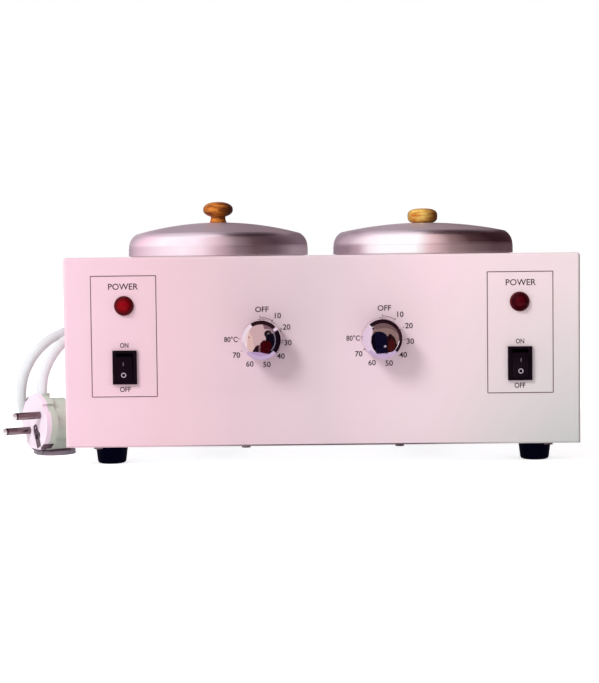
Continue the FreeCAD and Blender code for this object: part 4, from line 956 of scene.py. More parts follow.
def make_eyelet():
    """The strip, and a dark disc of painted shade in the hole that it surrounds."""
    # A dark disc of painted shade stands for the depth of the hole.
    hollow = bmesh.new()
    bmesh.ops.create_circle(hollow, cap_ends=True, segments=24, radius=2.1 * MM)
    hollow.transform(PLUG_PLACE @ STRIP_TURN @ Matrix.Translation((EARTH_HOLE * MM, 0, 0.1 * MM)))
    made = []
    layers = (("earth_socket", hollow, BLACK), ("earth_eyelet", earth_strip(), CONTACT_METAL))
    for name, shape, material in layers:
        item = add_object(name, mesh_from(name, shape, 30), "housing", material)
        made.append(tell(item))
    return made


eyelet = make_eyelet()
dress(CONTACT_METAL, "plug_earth_contacts")

# %% [markdown]
# ## What moves with the cord
# The pieces that go with the cord when someone lays it another way are gathered in one list, and their names
# are printed.

# %% Cord facts
on_cord = [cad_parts[name] for name in ("cord_gland", "cord_tie", "plug_body", "plug_earth_contacts")]
on_cord += [round_pins, *eyelet]
print("with the cord go:", ", ".join(item.name for item in on_cord))

# %% [markdown]
# ## Lids: the outline
# A lid is one spun disc: an upright band at the edge, a side drawn in by 0.2 mm above it, a round shoulder and
# a shallow dome up to the hole for the knob's screw. The dome is part of a large sphere, and its radius follows
# from how far it has to rise. The same function gives the inner skin when it is drawn in by the sheet's
# thickness, so outside and inside stay parallel.

# %% Lid outline
LID_RADIUS = 60 * MM
LID_SHEET = 1.2 * MM
LID_STEP = 0.2 * MM  # how far the side draws in above the band
BAND_HEIGHT = 5.6 * MM
SHOULDER = 10.2 * MM  # rounding of the side
SHOULDER_Z = 5.9 * MM  # middle of that rounding above the lid's edge
CREASE = math.radians(30)  # slope where the rounding meets the dome
SCREW_HOLE = 2.2 * MM


def arc(centre, radius, start, stop, steps):
    """Points on an arc; angles run from straight up towards the outside."""
    points = []
    for number in range(steps + 1):
        angle = start + (stop - start) * number / steps
        points.append((centre[0] + radius * math.sin(angle), centre[1] + radius * math.cos(angle)))
    return points


def lid_skin(edge, crown, inset):
    """The lid's outline from its edge to the crown, or its inside with inset as the sheet."""
    side = LID_RADIUS - inset
    upper = side - LID_STEP
    step = edge + BAND_HEIGHT
    shoulder = (LID_RADIUS - LID_STEP - SHOULDER, edge + SHOULDER_Z)
    line = [(side, edge), (side, step - LID_STEP), (upper, step)]
    line += arc(shoulder, SHOULDER - inset, math.radians(90), CREASE, 14)
    reach, low = line[-1]
    rise = crown - inset - low
    sphere = (reach**2 + rise**2) / (2 * rise)
    for number in range(1, 25):
        radius = reach + (SCREW_HOLE - reach) * number / 24
        line.append((radius, crown - inset - sphere + math.sqrt(sphere**2 - radius**2)))
    return line


print("one skin of a lid has", len(lid_skin(0, 24 * MM, 0)), "points")

# %% [markdown]
# ## Spun lids
# The outer skin, and the inner one backwards, make one closed outline, and the lathe turns it into a shell that
# is closed all round. A solidify modifier on the outer skin could do it too, but it moves each point along its
# normal, which leaves the wall uneven at the small step above the band. The crease at the shoulder is shallow,
# so edges are kept sharp from 12 degrees. The metal is duller on top, where the dome isn't polished.

# %% Lids
LID_TURNS = 160


def make_lid(side, metal):
    """A spun lid over one pot."""
    low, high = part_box(f"{side}_lid")
    centre = middle(f"{side}_lid")
    outside = lid_skin(low[2], high[2], 0)
    inside = lid_skin(low[2], high[2], LID_SHEET)
    shape = lathe([*outside, *reversed(inside), outside[0]], LID_TURNS)
    shape.transform(Matrix.Translation((centre.x, centre.y, 0)))
    name = f"{side}_spun_lid"
    lid = add_object(name, mesh_from(name, shape, 12), f"{side}_lid_body", metal)
    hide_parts(f"{side}_lid")
    tell(lid)


for side, way in SIDES.items():
    make_lid(side, spun(f"{side}_lid_metal", linear(248, 244, 247), 0.2, way * WELL_X, 0.22))

# %% [markdown]
# ## Turned wood
# The knobs are hardwood, varnished, with the grain lying across them. A noise that is squeezed far more in one
# direction than in the others draws long fibres, and a little distortion makes them wander. Shade is painted on
# the sides of each ball, more on the right, away from the light, by mixing the colour towards a deep brown
# there. The left knob is red-brown and the right one yellow.

# %% Turned wood
GRAIN_TILT = (0.2, 0.3)  # lean of the fibres about X and about Z
GRAIN_SCALE = (130, 220, 620)  # the noise is squeezed most upwards, so the fibres lie across
SHADE_RIGHT = (0, 8 * MM)  # from the knob's axis, where the painted shade begins and where it is darkest
SHADE_LEFT = (-10 * MM, -7 * MM)  # where it is darkest and where it ends


def wood(name, light, dark, centre, turn):
    """Varnished wood with its grain across, and painted shade at the sides, most at the right."""
    material = plain(name, light, 0.3, coat=0.06, specular=0.15)
    tree = material.node_tree
    place = node(material, "ShaderNodeTexCoord")
    shift = node(material, "ShaderNodeMapping", Location=tuple(-value for value in centre))
    tilt = node(material, "ShaderNodeMapping", Rotation=(GRAIN_TILT[0], turn, GRAIN_TILT[1]), Scale=GRAIN_SCALE)
    noise = node(material, "ShaderNodeTexNoise", Scale=1.0, Detail=4.0, Distortion=0.6)
    wire(material, place.outputs["Object"], shift.inputs["Vector"])
    wire(material, shift.outputs["Vector"], tilt.inputs["Vector"])
    wire(material, tilt.outputs["Vector"], noise.inputs["Vector"])
    grain = scaled(tree, noise.outputs["Fac"], 0, 1, 0.32, 0.68)
    fibres = mixed(tree, grain, dark, light)
    apart = node(material, "ShaderNodeSeparateXYZ")
    wire(material, shift.outputs["Vector"], apart.inputs["Vector"])
    # Painted shade: darker towards a deep brown at the sides, most at the right.
    right = scaled(tree, apart.outputs["X"], 0, 0.94, *SHADE_RIGHT)
    left = scaled(tree, apart.outputs["X"], 0.6, 0, *SHADE_LEFT)
    deep = [value * 0.3 for value in dark[:3]] + [1]
    colour = mixed(tree, reckoned(tree, "MAXIMUM", right, left), fibres, deep)
    wire(material, colour, shader_of(material).inputs["Base Color"])
    return material


KNOB_WOOD = {
    "left": (linear(236, 146, 54), linear(120, 50, 10), 0.35),
    "right": (linear(255, 220, 118), linear(204, 122, 36), -0.2),
}
print("woods:", ", ".join(KNOB_WOOD))

# %% [markdown]
# ## Wooden knobs
# Each is a flattened ball on a waisted neck, turned in one piece. A plain ellipse looks too thin at its edge,
# so the ball's outline is a superellipse: its power is 2 for an ellipse, and a higher one gives a fuller edge.
# The neck widens a little towards the lid. The right knob sits so low that almost no neck is left.

# %% Wooden knobs
FULLNESS = {"left": 2.25, "right": 2.9}  # 2 would make the ball's outline an ellipse
BALL_DROP = {"left": 0, "right": 1 * MM}
BALL_RADIUS = 10 * MM
BALL_HALF = 5.15 * MM  # half its height
NECK_RADIUS = 5.0 * MM


def neck_line(foot, top):
    """The outline of the neck, wider at its foot."""
    line = [Vector((2.1 * MM, foot)), Vector((NECK_RADIUS + 0.9 * MM, foot))]
    if top - foot > 2 * MM:
        for share in (0.15, 0.35, 0.6, 0.85):
            radius = NECK_RADIUS - 0.1 * MM + 1.0 * MM * (1 - share) ** 3
            line.append(Vector((radius, foot + (top - foot) * share)))
    return line


def ball_line(middle_z, foot, full):
    """The outline of the ball from its neck to its crown."""
    start = math.acos((NECK_RADIUS / BALL_RADIUS) ** (full / 2))
    line = []
    for number in range(33):
        angle = -start + (math.pi / 2 + start) * number / 32
        out = math.cos(angle) ** (2 / full) if number < 32 else 0
        up = math.copysign(abs(math.sin(angle)) ** (2 / full), angle)
        if middle_z + BALL_HALF * up > foot:
            line.append(Vector((BALL_RADIUS * out, middle_z + BALL_HALF * up)))
    return line


def make_wood_knob(side):
    """A turned knob on one lid."""
    low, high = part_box(f"{side}_lid_knob")
    centre = middle(f"{side}_lid_knob")
    foot, full = low[2], FULLNESS[side]
    middle_z = high[2] - BALL_DROP[side] - BALL_HALF
    under = (1 - (NECK_RADIUS / BALL_RADIUS) ** full) ** (1 / full)
    neck_top = middle_z - BALL_HALF * under + 0.1 * MM
    shape = lathe(neck_line(foot, neck_top) + ball_line(middle_z, foot, full), 64)
    shape.transform(Matrix.Translation((centre.x, centre.y, 0)))
    light, dark, turn = KNOB_WOOD[side]
    material = wood(f"{side}_turned_wood", light, dark, (centre.x, centre.y, foot), turn)
    name = f"{side}_wooden_knob"
    knob = add_object(name, mesh_from(name, shape, 40), f"{side}_lid_body", material)
    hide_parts(f"{side}_lid_knob")
    tell(knob)


for side in SIDES:
    make_wood_knob(side)

# %% [markdown]
# ## Dial knobs
# A dial knob is a plated plastic cap that is pushed on the thermostat's shaft: a thin skirt next to the panel,
# a nearly straight side, a sloping ring, and a front that swells by 1.2 mm. That swelling is what makes the
# front mirror a small picture of the room, so it is a true part of a sphere and not a flat disc. Inside there
# is a bore for the shaft. The outline goes round once and closes, and the lathe does the rest.

# %% Dial knobs
CHROME = plain("chrome_plating", linear(240, 230, 236), 0.06, metal=1.0)
KNOB_REACH = 19.5 * MM
KNOB_DISC = 9.9 * MM  # swelling front inside the sloping ring
KNOB_SLOPE = 2.0 * MM
KNOB_RISE = 1.2 * MM
KNOB_BORE = 3.03 * MM
KNOB_SPHERE = (KNOB_DISC**2 + KNOB_RISE**2) / (2 * KNOB_RISE)  # radius of the swelling


def knob_line():
    """The knob's closed outline, from the panel over its front and back through the bore."""
    disc = KNOB_REACH - KNOB_RISE
    outside = [
        (10 * MM, 0.6 * MM, 0),
        (12.8 * MM, 0.6 * MM, 0.2 * MM),
        (12.8 * MM, 3.0 * MM, 0.5 * MM),
        (12.4 * MM, 3.8 * MM, 0.3 * MM),
        (12.1 * MM, disc - KNOB_SLOPE, 0.7 * MM),
        (KNOB_DISC, disc, 0.9 * MM),
        (KNOB_DISC * 0.93, disc + 0.13 * KNOB_RISE, 0),
    ]
    line = rounded(outside, 8)
    for number in range(1, 17):
        radius = 0.93 * KNOB_DISC * (1 - number / 16)
        line.append(Vector((radius, KNOB_REACH - KNOB_SPHERE + math.sqrt(KNOB_SPHERE**2 - radius**2))))
    cap, hollow = KNOB_REACH - 4 * MM, 5.6 * MM
    line += [Vector((0, cap)), Vector((KNOB_BORE, cap)), Vector((KNOB_BORE, hollow))]
    return line + [Vector((10 * MM, hollow)), line[0]]


def make_dial_knob(side):
    """A plated knob before one dial."""
    centre = middle(f"{side}_dial_knob")
    shape = lathe(knob_line(), 96)
    shape.transform(Matrix.Translation((centre.x, FRONT, centre.z)) @ FACING_FRONT)
    name = f"{side}_plated_knob"
    knob = add_object(name, mesh_from(name, shape, 25), f"{side}_dial_body", CHROME)
    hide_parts(f"{side}_dial_knob")
    tell(knob)


for side in SIDES:
    make_dial_knob(side)

# %% [markdown]
# ## Lamps: red plastic
# Each lamp has a dark red body and a clear red lens. Light that enters a coloured lens comes back deepest in
# the middle, where the plastic is thickest, and dies away towards the rim. True glass with a lamp behind it
# would be slow and noisy at this size, so the colour goes by the distance from the lamp's axis. The left lamp
# is on, which is a touch of glow.

# %% Red lenses
BEZEL = plain("lamp_bezel", linear(84, 8, 16), 0.25, specular=0.25)
LENS_FADE = (2.2 * MM, 4.9 * MM)  # from the lamp's axis, where the deep red ends and where the rim's is full
dress(BEZEL, "left_lamp_body", "right_lamp_body")


def lens_red(side, brightness, glow):
    """Clear red moulding, darker towards its rim, with some light inside."""
    material = plain(f"{side}_red_lens", linear(brightness, 4, 14), 0.16, coat=0.04, specular=0.03)
    tree = material.node_tree
    place = node(material, "ShaderNodeTexCoord")
    from_axis = node(material, "ShaderNodeVectorMath", operation="SUBTRACT")
    from_axis.inputs[1].default_value = middle(f"{side}_lamp_lens")
    flat = node(material, "ShaderNodeVectorMath", operation="MULTIPLY")
    flat.inputs[1].default_value = (1, 0, 1)
    reach = node(material, "ShaderNodeVectorMath", operation="LENGTH")
    wire(material, place.outputs["Object"], from_axis.inputs[0])
    wire(material, from_axis.outputs["Vector"], flat.inputs[0])
    wire(material, flat.outputs["Vector"], reach.inputs[0])
    rim = scaled(tree, reach.outputs["Value"], 0, 1, *LENS_FADE)
    colour = mixed(tree, rim, linear(brightness * 1.1, 3, 16), linear(brightness * 0.62, 4, 12))
    shader = shader_of(material)
    wire(material, colour, shader.inputs["Base Color"])
    wire(material, colour, shader.inputs["Emission Color"])
    shader.inputs["Emission Strength"].default_value = glow
    return material


LENS = {"left": lens_red("left", 124, 0.1), "right": lens_red("right", 71, 0.0)}
print("lamp lenses:", ", ".join(material.name for material in LENS.values()))

# %% [markdown]
# ## Lamps: the lens
# The lens is a low dome on a short collar, with a stem that reaches into the lamp's body. The dome is part of a
# sphere, worked out from its radius and its rise, and the whole is turned in one go.

# %% Lamp lenses
LENS_RADIUS = 5.1 * MM
LENS_RISE = 2.4 * MM
LENS_RIM = 2.55 * MM  # in front of the panel
LENS_COLLAR = 2.05 * MM  # where the stem widens, in front of the panel
STEM_RADIUS = 4.3 * MM
STEM_END = -8 * MM


def make_lens(side):
    """A domed lens before one lamp."""
    centre = middle(f"{side}_lamp_lens")
    line = [Vector((STEM_RADIUS, STEM_END)), Vector((STEM_RADIUS, LENS_COLLAR))]
    line.append(Vector((LENS_RADIUS, LENS_COLLAR)))
    sphere = (LENS_RADIUS**2 + LENS_RISE**2) / (2 * LENS_RISE)
    for number in range(13):
        radius = LENS_RADIUS * (1 - number / 12)
        line.append(Vector((radius, LENS_RIM + LENS_RISE - sphere + math.sqrt(sphere**2 - radius**2))))
    line += [Vector((0, STEM_END)), Vector((STEM_RADIUS, STEM_END))]
    shape = lathe(line, 48)
    shape.transform(Matrix.Translation((centre.x, FRONT, centre.z)) @ FACING_FRONT)
    name = f"{side}_fluted_lens"
    lens = add_object(name, mesh_from(name, shape, 35), "housing", LENS[side])
    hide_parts(f"{side}_lamp_lens")
    tell(lens)


for side in SIDES:
    make_lens(side)

# %% [markdown]
# ## Rockers
# A rocker switch's key is a bar of glossy black plastic with a hollow face, on a pivot just behind the panel.
# It rests with its lower half pushed in, here by 10 degrees. Its side view is one face, and extruding that face
# across gives the key; bevels on the two ends take off the sharp corners. The tilt is part of the mesh, and the
# joint turns the finished key about its own pivot.

# %% Rockers
ROCKER_WIDTH = 10 * MM
ROCKER_HALF = 7.9 * MM
ROCKER_TILT = math.radians(10)
ROCKER_REACH = 4.6 * MM  # middle of the face, in front of the pivot
ROCKER_HOLLOW = 0.9 * MM  # how much further forward its two ends stand
ROCKER_BACK = ((1.2, 4.3), (2.4, 0), (1.2, -4.3))  # millimetres behind the pivot and up from it
PIVOT_DEPTH = 1.5 * MM
SWITCH_Z = middle("left_switch_body").z


def rocker_front(z):
    """How far the rocker's face stands in front of its pivot at a height, before it is tilted."""
    return ROCKER_REACH + ROCKER_HOLLOW * (abs(z) / ROCKER_HALF) ** 1.5


def rocker_place(side):
    """From the rocker's own axes, level on its pivot, to its place in the panel."""
    x = middle(f"{side}_switch_body").x
    return Matrix.Translation((x, FRONT + PIVOT_DEPTH, SWITCH_Z)) @ Matrix.Rotation(ROCKER_TILT, 4, "X")


def make_rocker(side):
    """A hollow-faced key in one switch."""
    shape = bmesh.new()
    heights = [ROCKER_HALF * (number / 8 - 1) for number in range(17)]
    outline = [(-rocker_front(z), z) for z in heights]
    outline += [(y * MM, z * MM) for y, z in ROCKER_BACK]
    cap = shape.faces.new([shape.verts.new((-ROCKER_WIDTH / 2, y, z)) for y, z in outline])
    grown = bmesh.ops.extrude_face_region(shape, geom=[cap], use_keep_orig=True)["geom"]
    fresh = [item for item in grown if isinstance(item, bmesh.types.BMVert)]
    bmesh.ops.translate(shape, verts=fresh, vec=(ROCKER_WIDTH, 0, 0))
    caps = [face for face in shape.faces if len(face.verts) > 4]
    round_edges(shape, list({edge for face in caps for edge in face.edges}), 0.4 * MM, 2)
    bmesh.ops.recalc_face_normals(shape, faces=shape.faces)
    shape.transform(rocker_place(side))
    name = f"{side}_rocker_key"
    key = add_object(name, mesh_from(name, shape, 40), f"{side}_rocker_body", BLACK)
    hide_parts(f"{side}_rocker")
    tell(key)


dress(BLACK, "left_switch_body", "right_switch_body")
for side in SIDES:
    make_rocker(side)

# %% [markdown]
# ## Marks on the rockers
# A line above for on, a ring below for off. They are moulded in white and stand proud by a tenth of a
# millimetre at most, which is enough to keep them from flickering into the black face. The ring is a small
# turned washer that leans with the hollow of the face. Both ride on the rocker's body, so they tip with it. The
# ring faces up to the light, and the line is given a darker grey as painted shade.

# %% Rocker marks
MARKING = {
    # The line's darker grey is painted shade; the ring faces up to the light.
    "line": plain("shaded_marking", linear(96, 84, 98), 0.5),
    "ring": plain("white_marking", linear(186, 174, 188), 0.5),
}
MARK_SHIFT = {"left": -0.6 * MM, "right": 0.3 * MM}
LINE_Z, RING_Z = 3.6 * MM, -3.9 * MM  # middles of the marks, from the pivot
LINE_HALF = (0.35 * MM, 1.6 * MM)  # half the line's width and height
LINE_PROUD = 0.08 * MM
RING_WALL = ((1.02, -0.3), (1.02, 0.1), (1.58, 0.1), (1.58, -0.3))  # radius and height in millimetres
RING_LEAN = math.radians(-7.5)


def line_mark():
    """The upright line."""
    face = -rocker_front(LINE_Z)
    wide, tall = LINE_HALF
    low = (-wide, face - LINE_PROUD, LINE_Z - tall)
    return rounded_box(low, (wide, face + 0.3 * MM, LINE_Z + tall), 0.03 * MM, 1)


def ring_mark():
    """The ring, leaning with the face."""
    outline = [Vector(point) * MM for point in RING_WALL]
    ring = lathe([*outline, outline[0]], 32)
    lean = Matrix.Rotation(RING_LEAN, 4, "X")
    ring.transform(Matrix.Translation((0, -rocker_front(RING_Z), RING_Z)) @ lean @ FACING_FRONT)
    return ring


def make_marks(side):
    """Both marks on one rocker."""
    for label, shape in (("line", line_mark()), ("ring", ring_mark())):
        shape.transform(rocker_place(side) @ Matrix.Translation((MARK_SHIFT[side], 0, 0)))
        name = f"{side}_rocker_{label}"
        mark = add_object(name, mesh_from(name, shape, 40), f"{side}_rocker_body", MARKING[label])
        tell(mark)


for side in SIDES:
    make_marks(side)

# %% [markdown]
# ## Print: letters as meshes
# The words on the panel are screen-printed. A text object is a curve that Blender fills, and turned into a mesh
# it can be scaled like any shape: here to the height of its capitals, which is how print is measured. A small
# offset fattens the strokes. A picture of the print on the paint would blur close up; real letters don't.

# %% Letters


def word_shape(words, height, wide, bold):
    """A flat bmesh of letters, centred, whose capitals are of a given height."""
    data = bpy.data.curves.new("word", "FONT")
    data.body = words
    data.align_x = "CENTER"
    data.size = 1.0
    data.offset = bold
    data.resolution_u = 3
    shape = shape_of_curve(data)
    low = min(vertex.co.y for vertex in shape.verts)
    tall = max(vertex.co.y for vertex in shape.verts) - low
    scale = height / tall
    to_size = Matrix.Diagonal((scale * wide, scale, scale, 1))
    shape.transform(to_size @ Matrix.Translation((0, -low - tall / 2, 0)))
    return shape


def moved(shape, x, y):
    """The shape, moved in its own plane."""
    shape.transform(Matrix.Translation((x, y, 0)))
    return shape


trial = word_shape("ON", 3 * MM, 1, 0)
print("the word ON has", len(trial.faces), "faces")
trial.free()

# %% [markdown]
# ## Print: lines and arcs
# A printed line is a flat band. One short edge is set across it and drawn along with an extrusion; for an arc
# the same edge is spun about the middle. Curves with a bevel would also do, but these bands stay truly flat
# and cost one face for each stretch.

# %% Lines and arcs


def strip(start, stop, width):
    """A flat bmesh band between two points in the XY plane: an edge across, drawn along."""
    start, stop = Vector((*start, 0)), Vector((*stop, 0))
    across = (stop - start).cross(Vector((0, 0, 1))).normalized() * width / 2
    shape = bmesh.new()
    edge = shape.edges.new([shape.verts.new(start + across), shape.verts.new(start - across)])
    grown = bmesh.ops.extrude_edge_only(shape, edges=[edge])["geom"]
    fresh = [item for item in grown if isinstance(item, bmesh.types.BMVert)]
    bmesh.ops.translate(shape, verts=fresh, vec=stop - start)
    return shape


def curved_strip(radius, first, last, width):
    """A flat bmesh band on an arc about the origin: an edge across, spun."""
    shape = bmesh.new()
    turn = Matrix.Rotation(math.radians(first), 3, "Z")
    ends = [shape.verts.new(turn @ Vector((radius + way * width / 2, 0, 0))) for way in (-1, 1)]
    edge = shape.edges.new(ends)
    bmesh.ops.spin(
        shape, geom=[*ends, edge], cent=(0, 0, 0), axis=(0, 0, 1), angle=math.radians(last - first), steps=20
    )
    return shape


trial = curved_strip(1, 90, 45, 0.1)
print("an arc of 45 degrees has", len(trial.faces), "faces")
trial.free()

# %% [markdown]
# ## Print: the two switch columns
# Each switch and its lamp share a thin frame with POWER above the lamp and ON and OFF above and below the
# switch. Words and lines are laid out in the panel's own plane, in millimetres from its middle and below its
# top, and both columns come from one list, mirrored in place but not in shape, so the letters stay readable.

# %% Switch columns
LINE_WIDTH = 0.55 * MM
FRAME_X = (102.5 * MM, 143.0 * MM)
FRAME_DROP = (11.5 * MM, 86.5 * MM)
# Text, distance from the panel's middle and below its top, height in millimetres, and a factor on the width.
WORDS = (("POWER", 123.0, 18.1, 3.9, 1.0), ("ON", 122.6, 54.5, 3.1, 0.82), ("OFF", 122.4, 81.9, 3.3, 0.88))


def frame_shape(side):
    """Thin rectangle round a switch and a lamp."""
    low_x, high_x = sorted(side * value for value in FRAME_X)
    high_z, low_z = (TOP - drop for drop in FRAME_DROP)
    corners = [(low_x, low_z), (high_x, low_z), (high_x, high_z), (low_x, high_z)]
    bars = []
    for start, stop in zip(corners, corners[1:] + corners[:1]):
        bars.append(strip(start, stop, LINE_WIDTH))
    return merge(*bars)


def column_words(way):
    """The words of the column on one side."""
    shapes = []
    for text, x, drop, height, wide in WORDS:
        bold = 0.01 if text == "POWER" else 0.02
        shapes.append(moved(word_shape(text, height * MM, wide, bold), way * x * MM, TOP - drop * MM))
    return shapes


frames = [frame_shape(way) for way in SIDES.values()]
letters = [shape for way in SIDES.values() for shape in column_words(way)]
print(len(frames), "frames and", len(letters), "words")

# %% [markdown]
# ## Print: the two dials
# Round each knob stand OFF and the temperatures from 10 to 80 degrees, with a short tick for some of them and
# an arc between OFF and 10. They could be spaced by a formula, but on the real panel the numbers are set by
# eye, so each has its own place, in millimetres to the right and up from the dial's middle.

# %% Dials
DIAL_PRINT = (37.9 * MM, 78.5 * MM)  # middle of each dial's print, from the panel's middle and from the floor
DIAL_WORDS = (
    ("OFF", 0.9, 18.4),
    ("10", 10.4, 14.4),
    ("20", 16.1, 7.3),
    ("30", 16.8, -2.4),
    ("40", 12.4, -10.7),
    ("50", 3.6, -15.8),
    ("60", -7.0, -15.4),
    ("70", -15.2, -9.8),
    ("80°C", -18.5, 0.0),
)  # millimetres to the right and up
# Both ends of each tick, in millimetres to the right and up.
DIAL_TICKS = (
    (-0.3, 14.6, -0.3, 13.4),
    (7.9, 12.0, 7.3, 11.0),
    (13.2, 6.6, 12.4, 6.1),
    (14.1, -1.5, 13.2, -1.3),
    (-14.2, 0.5, -13.0, 0.2),
    (-12.3, -7.6, -11.5, -7.0),
)
DIAL_ARC = (13.4, 92, 55)  # radius in millimetres, first and last angle
DIAL_LETTER = 3.5 * MM  # height of its capitals


def dial_words(way):
    """The numbers of the dial on one side."""
    shapes = []
    for text, x, up in DIAL_WORDS:
        shape = word_shape(text, DIAL_LETTER, 0.9 if "C" in text else 1.02, bold=0.016)
        shapes.append(moved(shape, way * DIAL_PRINT[0] + x * MM, DIAL_PRINT[1] + up * MM))
    return shapes


def dial_lines(way):
    """The ticks and the arc of the dial on one side."""
    shapes = [strip((x1 * MM, up1 * MM), (x2 * MM, up2 * MM), 0.35 * MM) for x1, up1, x2, up2 in DIAL_TICKS]
    radius, first, last = DIAL_ARC
    shapes.append(curved_strip(radius * MM, first, last, 0.3 * MM))
    return [moved(shape, way * DIAL_PRINT[0], DIAL_PRINT[1]) for shape in shapes]


letters += [shape for way in SIDES.values() for shape in dial_words(way)]
lines = frames + [shape for way in SIDES.values() for shape in dial_lines(way)]
print(len(letters), "words and", len(lines), "lines in all")

# %% [markdown]
# ## Print: ink on the panel
# All letters become one piece and all lines another, because thin lines let more of the paint show and look
# paler than solid letters. Both lie 0.05 mm in front of the paint: thin enough to look printed, and far enough
# to be in front of it from every side.

# %% Ink
INK_LIFT = 0.05 * MM
ON_PANEL = Matrix.Translation((0, FRONT - INK_LIFT, 0)) @ FACING_FRONT


def add_ink(name, shapes, ink):
    """One piece of print from flat shapes."""
    whole = merge(*shapes)
    whole.transform(ON_PANEL)
    item = add_object(name, mesh_from(name, whole, 0), "housing", ink)
    tell(item)


add_ink("panel_words", letters, plain("printed_ink", linear(56, 34, 44), 0.55, specular=0.2))
add_ink("panel_lines", lines, plain("printed_line", linear(104, 70, 80), 0.55, specular=0.2))

# %% [markdown]
# ## White world
# The object stands in a bright white studio. What the world shows and what it sheds can differ: rays that look
# straight at it, or see it in a mirror, find pure white, while the light that falls on the object is softer,
# a little warm, and stronger from the left. A light-path node tells the two apart. The Standard view transform
# then shows every colour as it is written.

# %% World
WORLD_LIGHT = (0.76, 0.3)  # what the world sheds on the object from the left and from the right
WORLD_TINT = (255, 243, 246)


def seen_directly(tree, *kinds):
    """1 for rays of the given kinds, 0 for light that falls on something."""
    path = tree.nodes.new("ShaderNodeLightPath")
    seen = path.outputs[f"Is {kinds[0]} Ray"]
    for kind in kinds[1:]:
        seen = reckoned(tree, "MAXIMUM", seen, path.outputs[f"Is {kind} Ray"])
    return seen


def make_world():
    """A world that looks white and lights the object softly from the left."""
    world = bpy.data.worlds.new("white")
    world.use_nodes = True
    tree = world.node_tree
    back = tree.nodes["Background"]
    seen = seen_directly(tree, "Camera", "Glossy", "Transmission")
    colour = mixed(tree, seen, linear(*WORLD_TINT), linear(255, 255, 255))
    tree.links.new(colour, back.inputs["Color"])
    place = tree.nodes.new("ShaderNodeTexCoord")
    apart = tree.nodes.new("ShaderNodeSeparateXYZ")
    tree.links.new(place.outputs["Generated"], apart.inputs["Vector"])
    shed = scaled(tree, apart.outputs["X"], *WORLD_LIGHT, -1, 1)
    tree.links.new(reckoned(tree, "MAXIMUM", shed, seen), back.inputs["Strength"])
    bpy.context.scene.world = world


make_world()
bpy.context.scene.view_settings.view_transform = "Standard"
print("the world sheds", WORLD_LIGHT[0], "from the left and", WORLD_LIGHT[1], "from the right")

# %% [markdown]
# ## Floor
# A white floor carries the soft shadows of the feet and the plug, and sends light back up under the box. On its
# own it would come out light grey, so rays that look at it also find a little glow, which lifts it to white
# without adding light to the object. A shadow catcher would hide the floor from the camera, and with it the
# light that it returns.

# %% Floor
FLOOR_LIFT = 0.66
FLOOR_REACH = 6.0


def one_face(corners):
    """A bmesh of one face."""
    shape = bmesh.new()
    shape.faces.new([shape.verts.new(corner) for corner in corners])
    return shape


def make_stage(name, shape, material):
    """A piece of the surroundings."""
    item = add_object(name, mesh_from(name, shape), None, material)
    return item


def make_floor():
    """A wide white square under the object."""
    material = plain("white_floor", (0.93, 0.93, 0.93, 1), 0.8, specular=0.0)
    tree = material.node_tree
    shader = shader_of(material)
    shader.inputs["Emission Color"].default_value = (1, 1, 1, 1)
    lift = scaled(tree, seen_directly(tree, "Camera", "Glossy", "Transmission"), 0.0, FLOOR_LIFT)
    tree.links.new(lift, shader.inputs["Emission Strength"])
    ways = ((-1, -1), (1, -1), (1, 1), (-1, 1))
    return make_stage("floor", one_face([(x * FLOOR_REACH, y * FLOOR_REACH, 0) for x, y in ways]), material)


tell(make_floor())

# %% [markdown]
# ## Things that only mirrors see
# Bare metal has hardly any colour of its own: it shows what stands round it. In a studio that is done with
# white and black cards just out of view. Here a card is a glowing face that mirror rays can see, and that
# neither the camera nor the soft light can, so it shapes the reflections and leaves everything else alone.

# %% Cards


def glow_of(name):
    """A glowing material, and its emission node."""
    material = bpy.data.materials.new(name)
    material.use_nodes = True
    tree = material.node_tree
    tree.nodes.clear()
    glow = tree.nodes.new("ShaderNodeEmission")
    output = tree.nodes.new("ShaderNodeOutputMaterial")
    tree.links.new(glow.outputs["Emission"], output.inputs["Surface"])
    return material, glow


def make_card(name, shape, material):
    """A glowing card that only reflections show."""
    card = make_stage(name, shape, material)
    card.visible_camera = False
    card.visible_diffuse = False
    card.visible_shadow = False
    card.visible_transmission = False


def flat_glow(name, colour):
    """A material that glows in one colour."""
    material, glow = glow_of(name)
    glow.inputs["Color"].default_value = linear(*colour)
    return material


trial = flat_glow("trial", (255, 255, 255))
print("a glowing finish has", len(trial.node_tree.nodes), "nodes")
bpy.data.materials.remove(trial)

# %% [markdown]
# ## The room
# The lids mirror a room that is bright on the left, dark on the right and dim behind. A tall round wall stands
# for it, and its colour goes by the bearing of each point, counted from the front towards the right. That
# bearing comes from two places at right angles through an arc-tangent node. A panorama on the world would
# do the same, but a written list of bearings can be tuned one direction at a time.

# %% Wall material
BEHIND = ((112, 92, 104), (160, 138, 144))  # to the left and to the right
BEHIND_TOP = 0.8  # height up to which the dim back reaches


def by_bearing(tree, x, y, stops):
    """A colour by bearing in degrees, -180 to 180, counted from the front towards the right."""
    bearing = reckoned(tree, "ARCTAN2", x, reckoned(tree, "MULTIPLY", y, -1.0))
    share = scaled(tree, bearing, 0, 1, -math.pi, math.pi)
    return ramp_of(tree, share, [((angle + 180) / 360, shown) for angle, shown in stops])


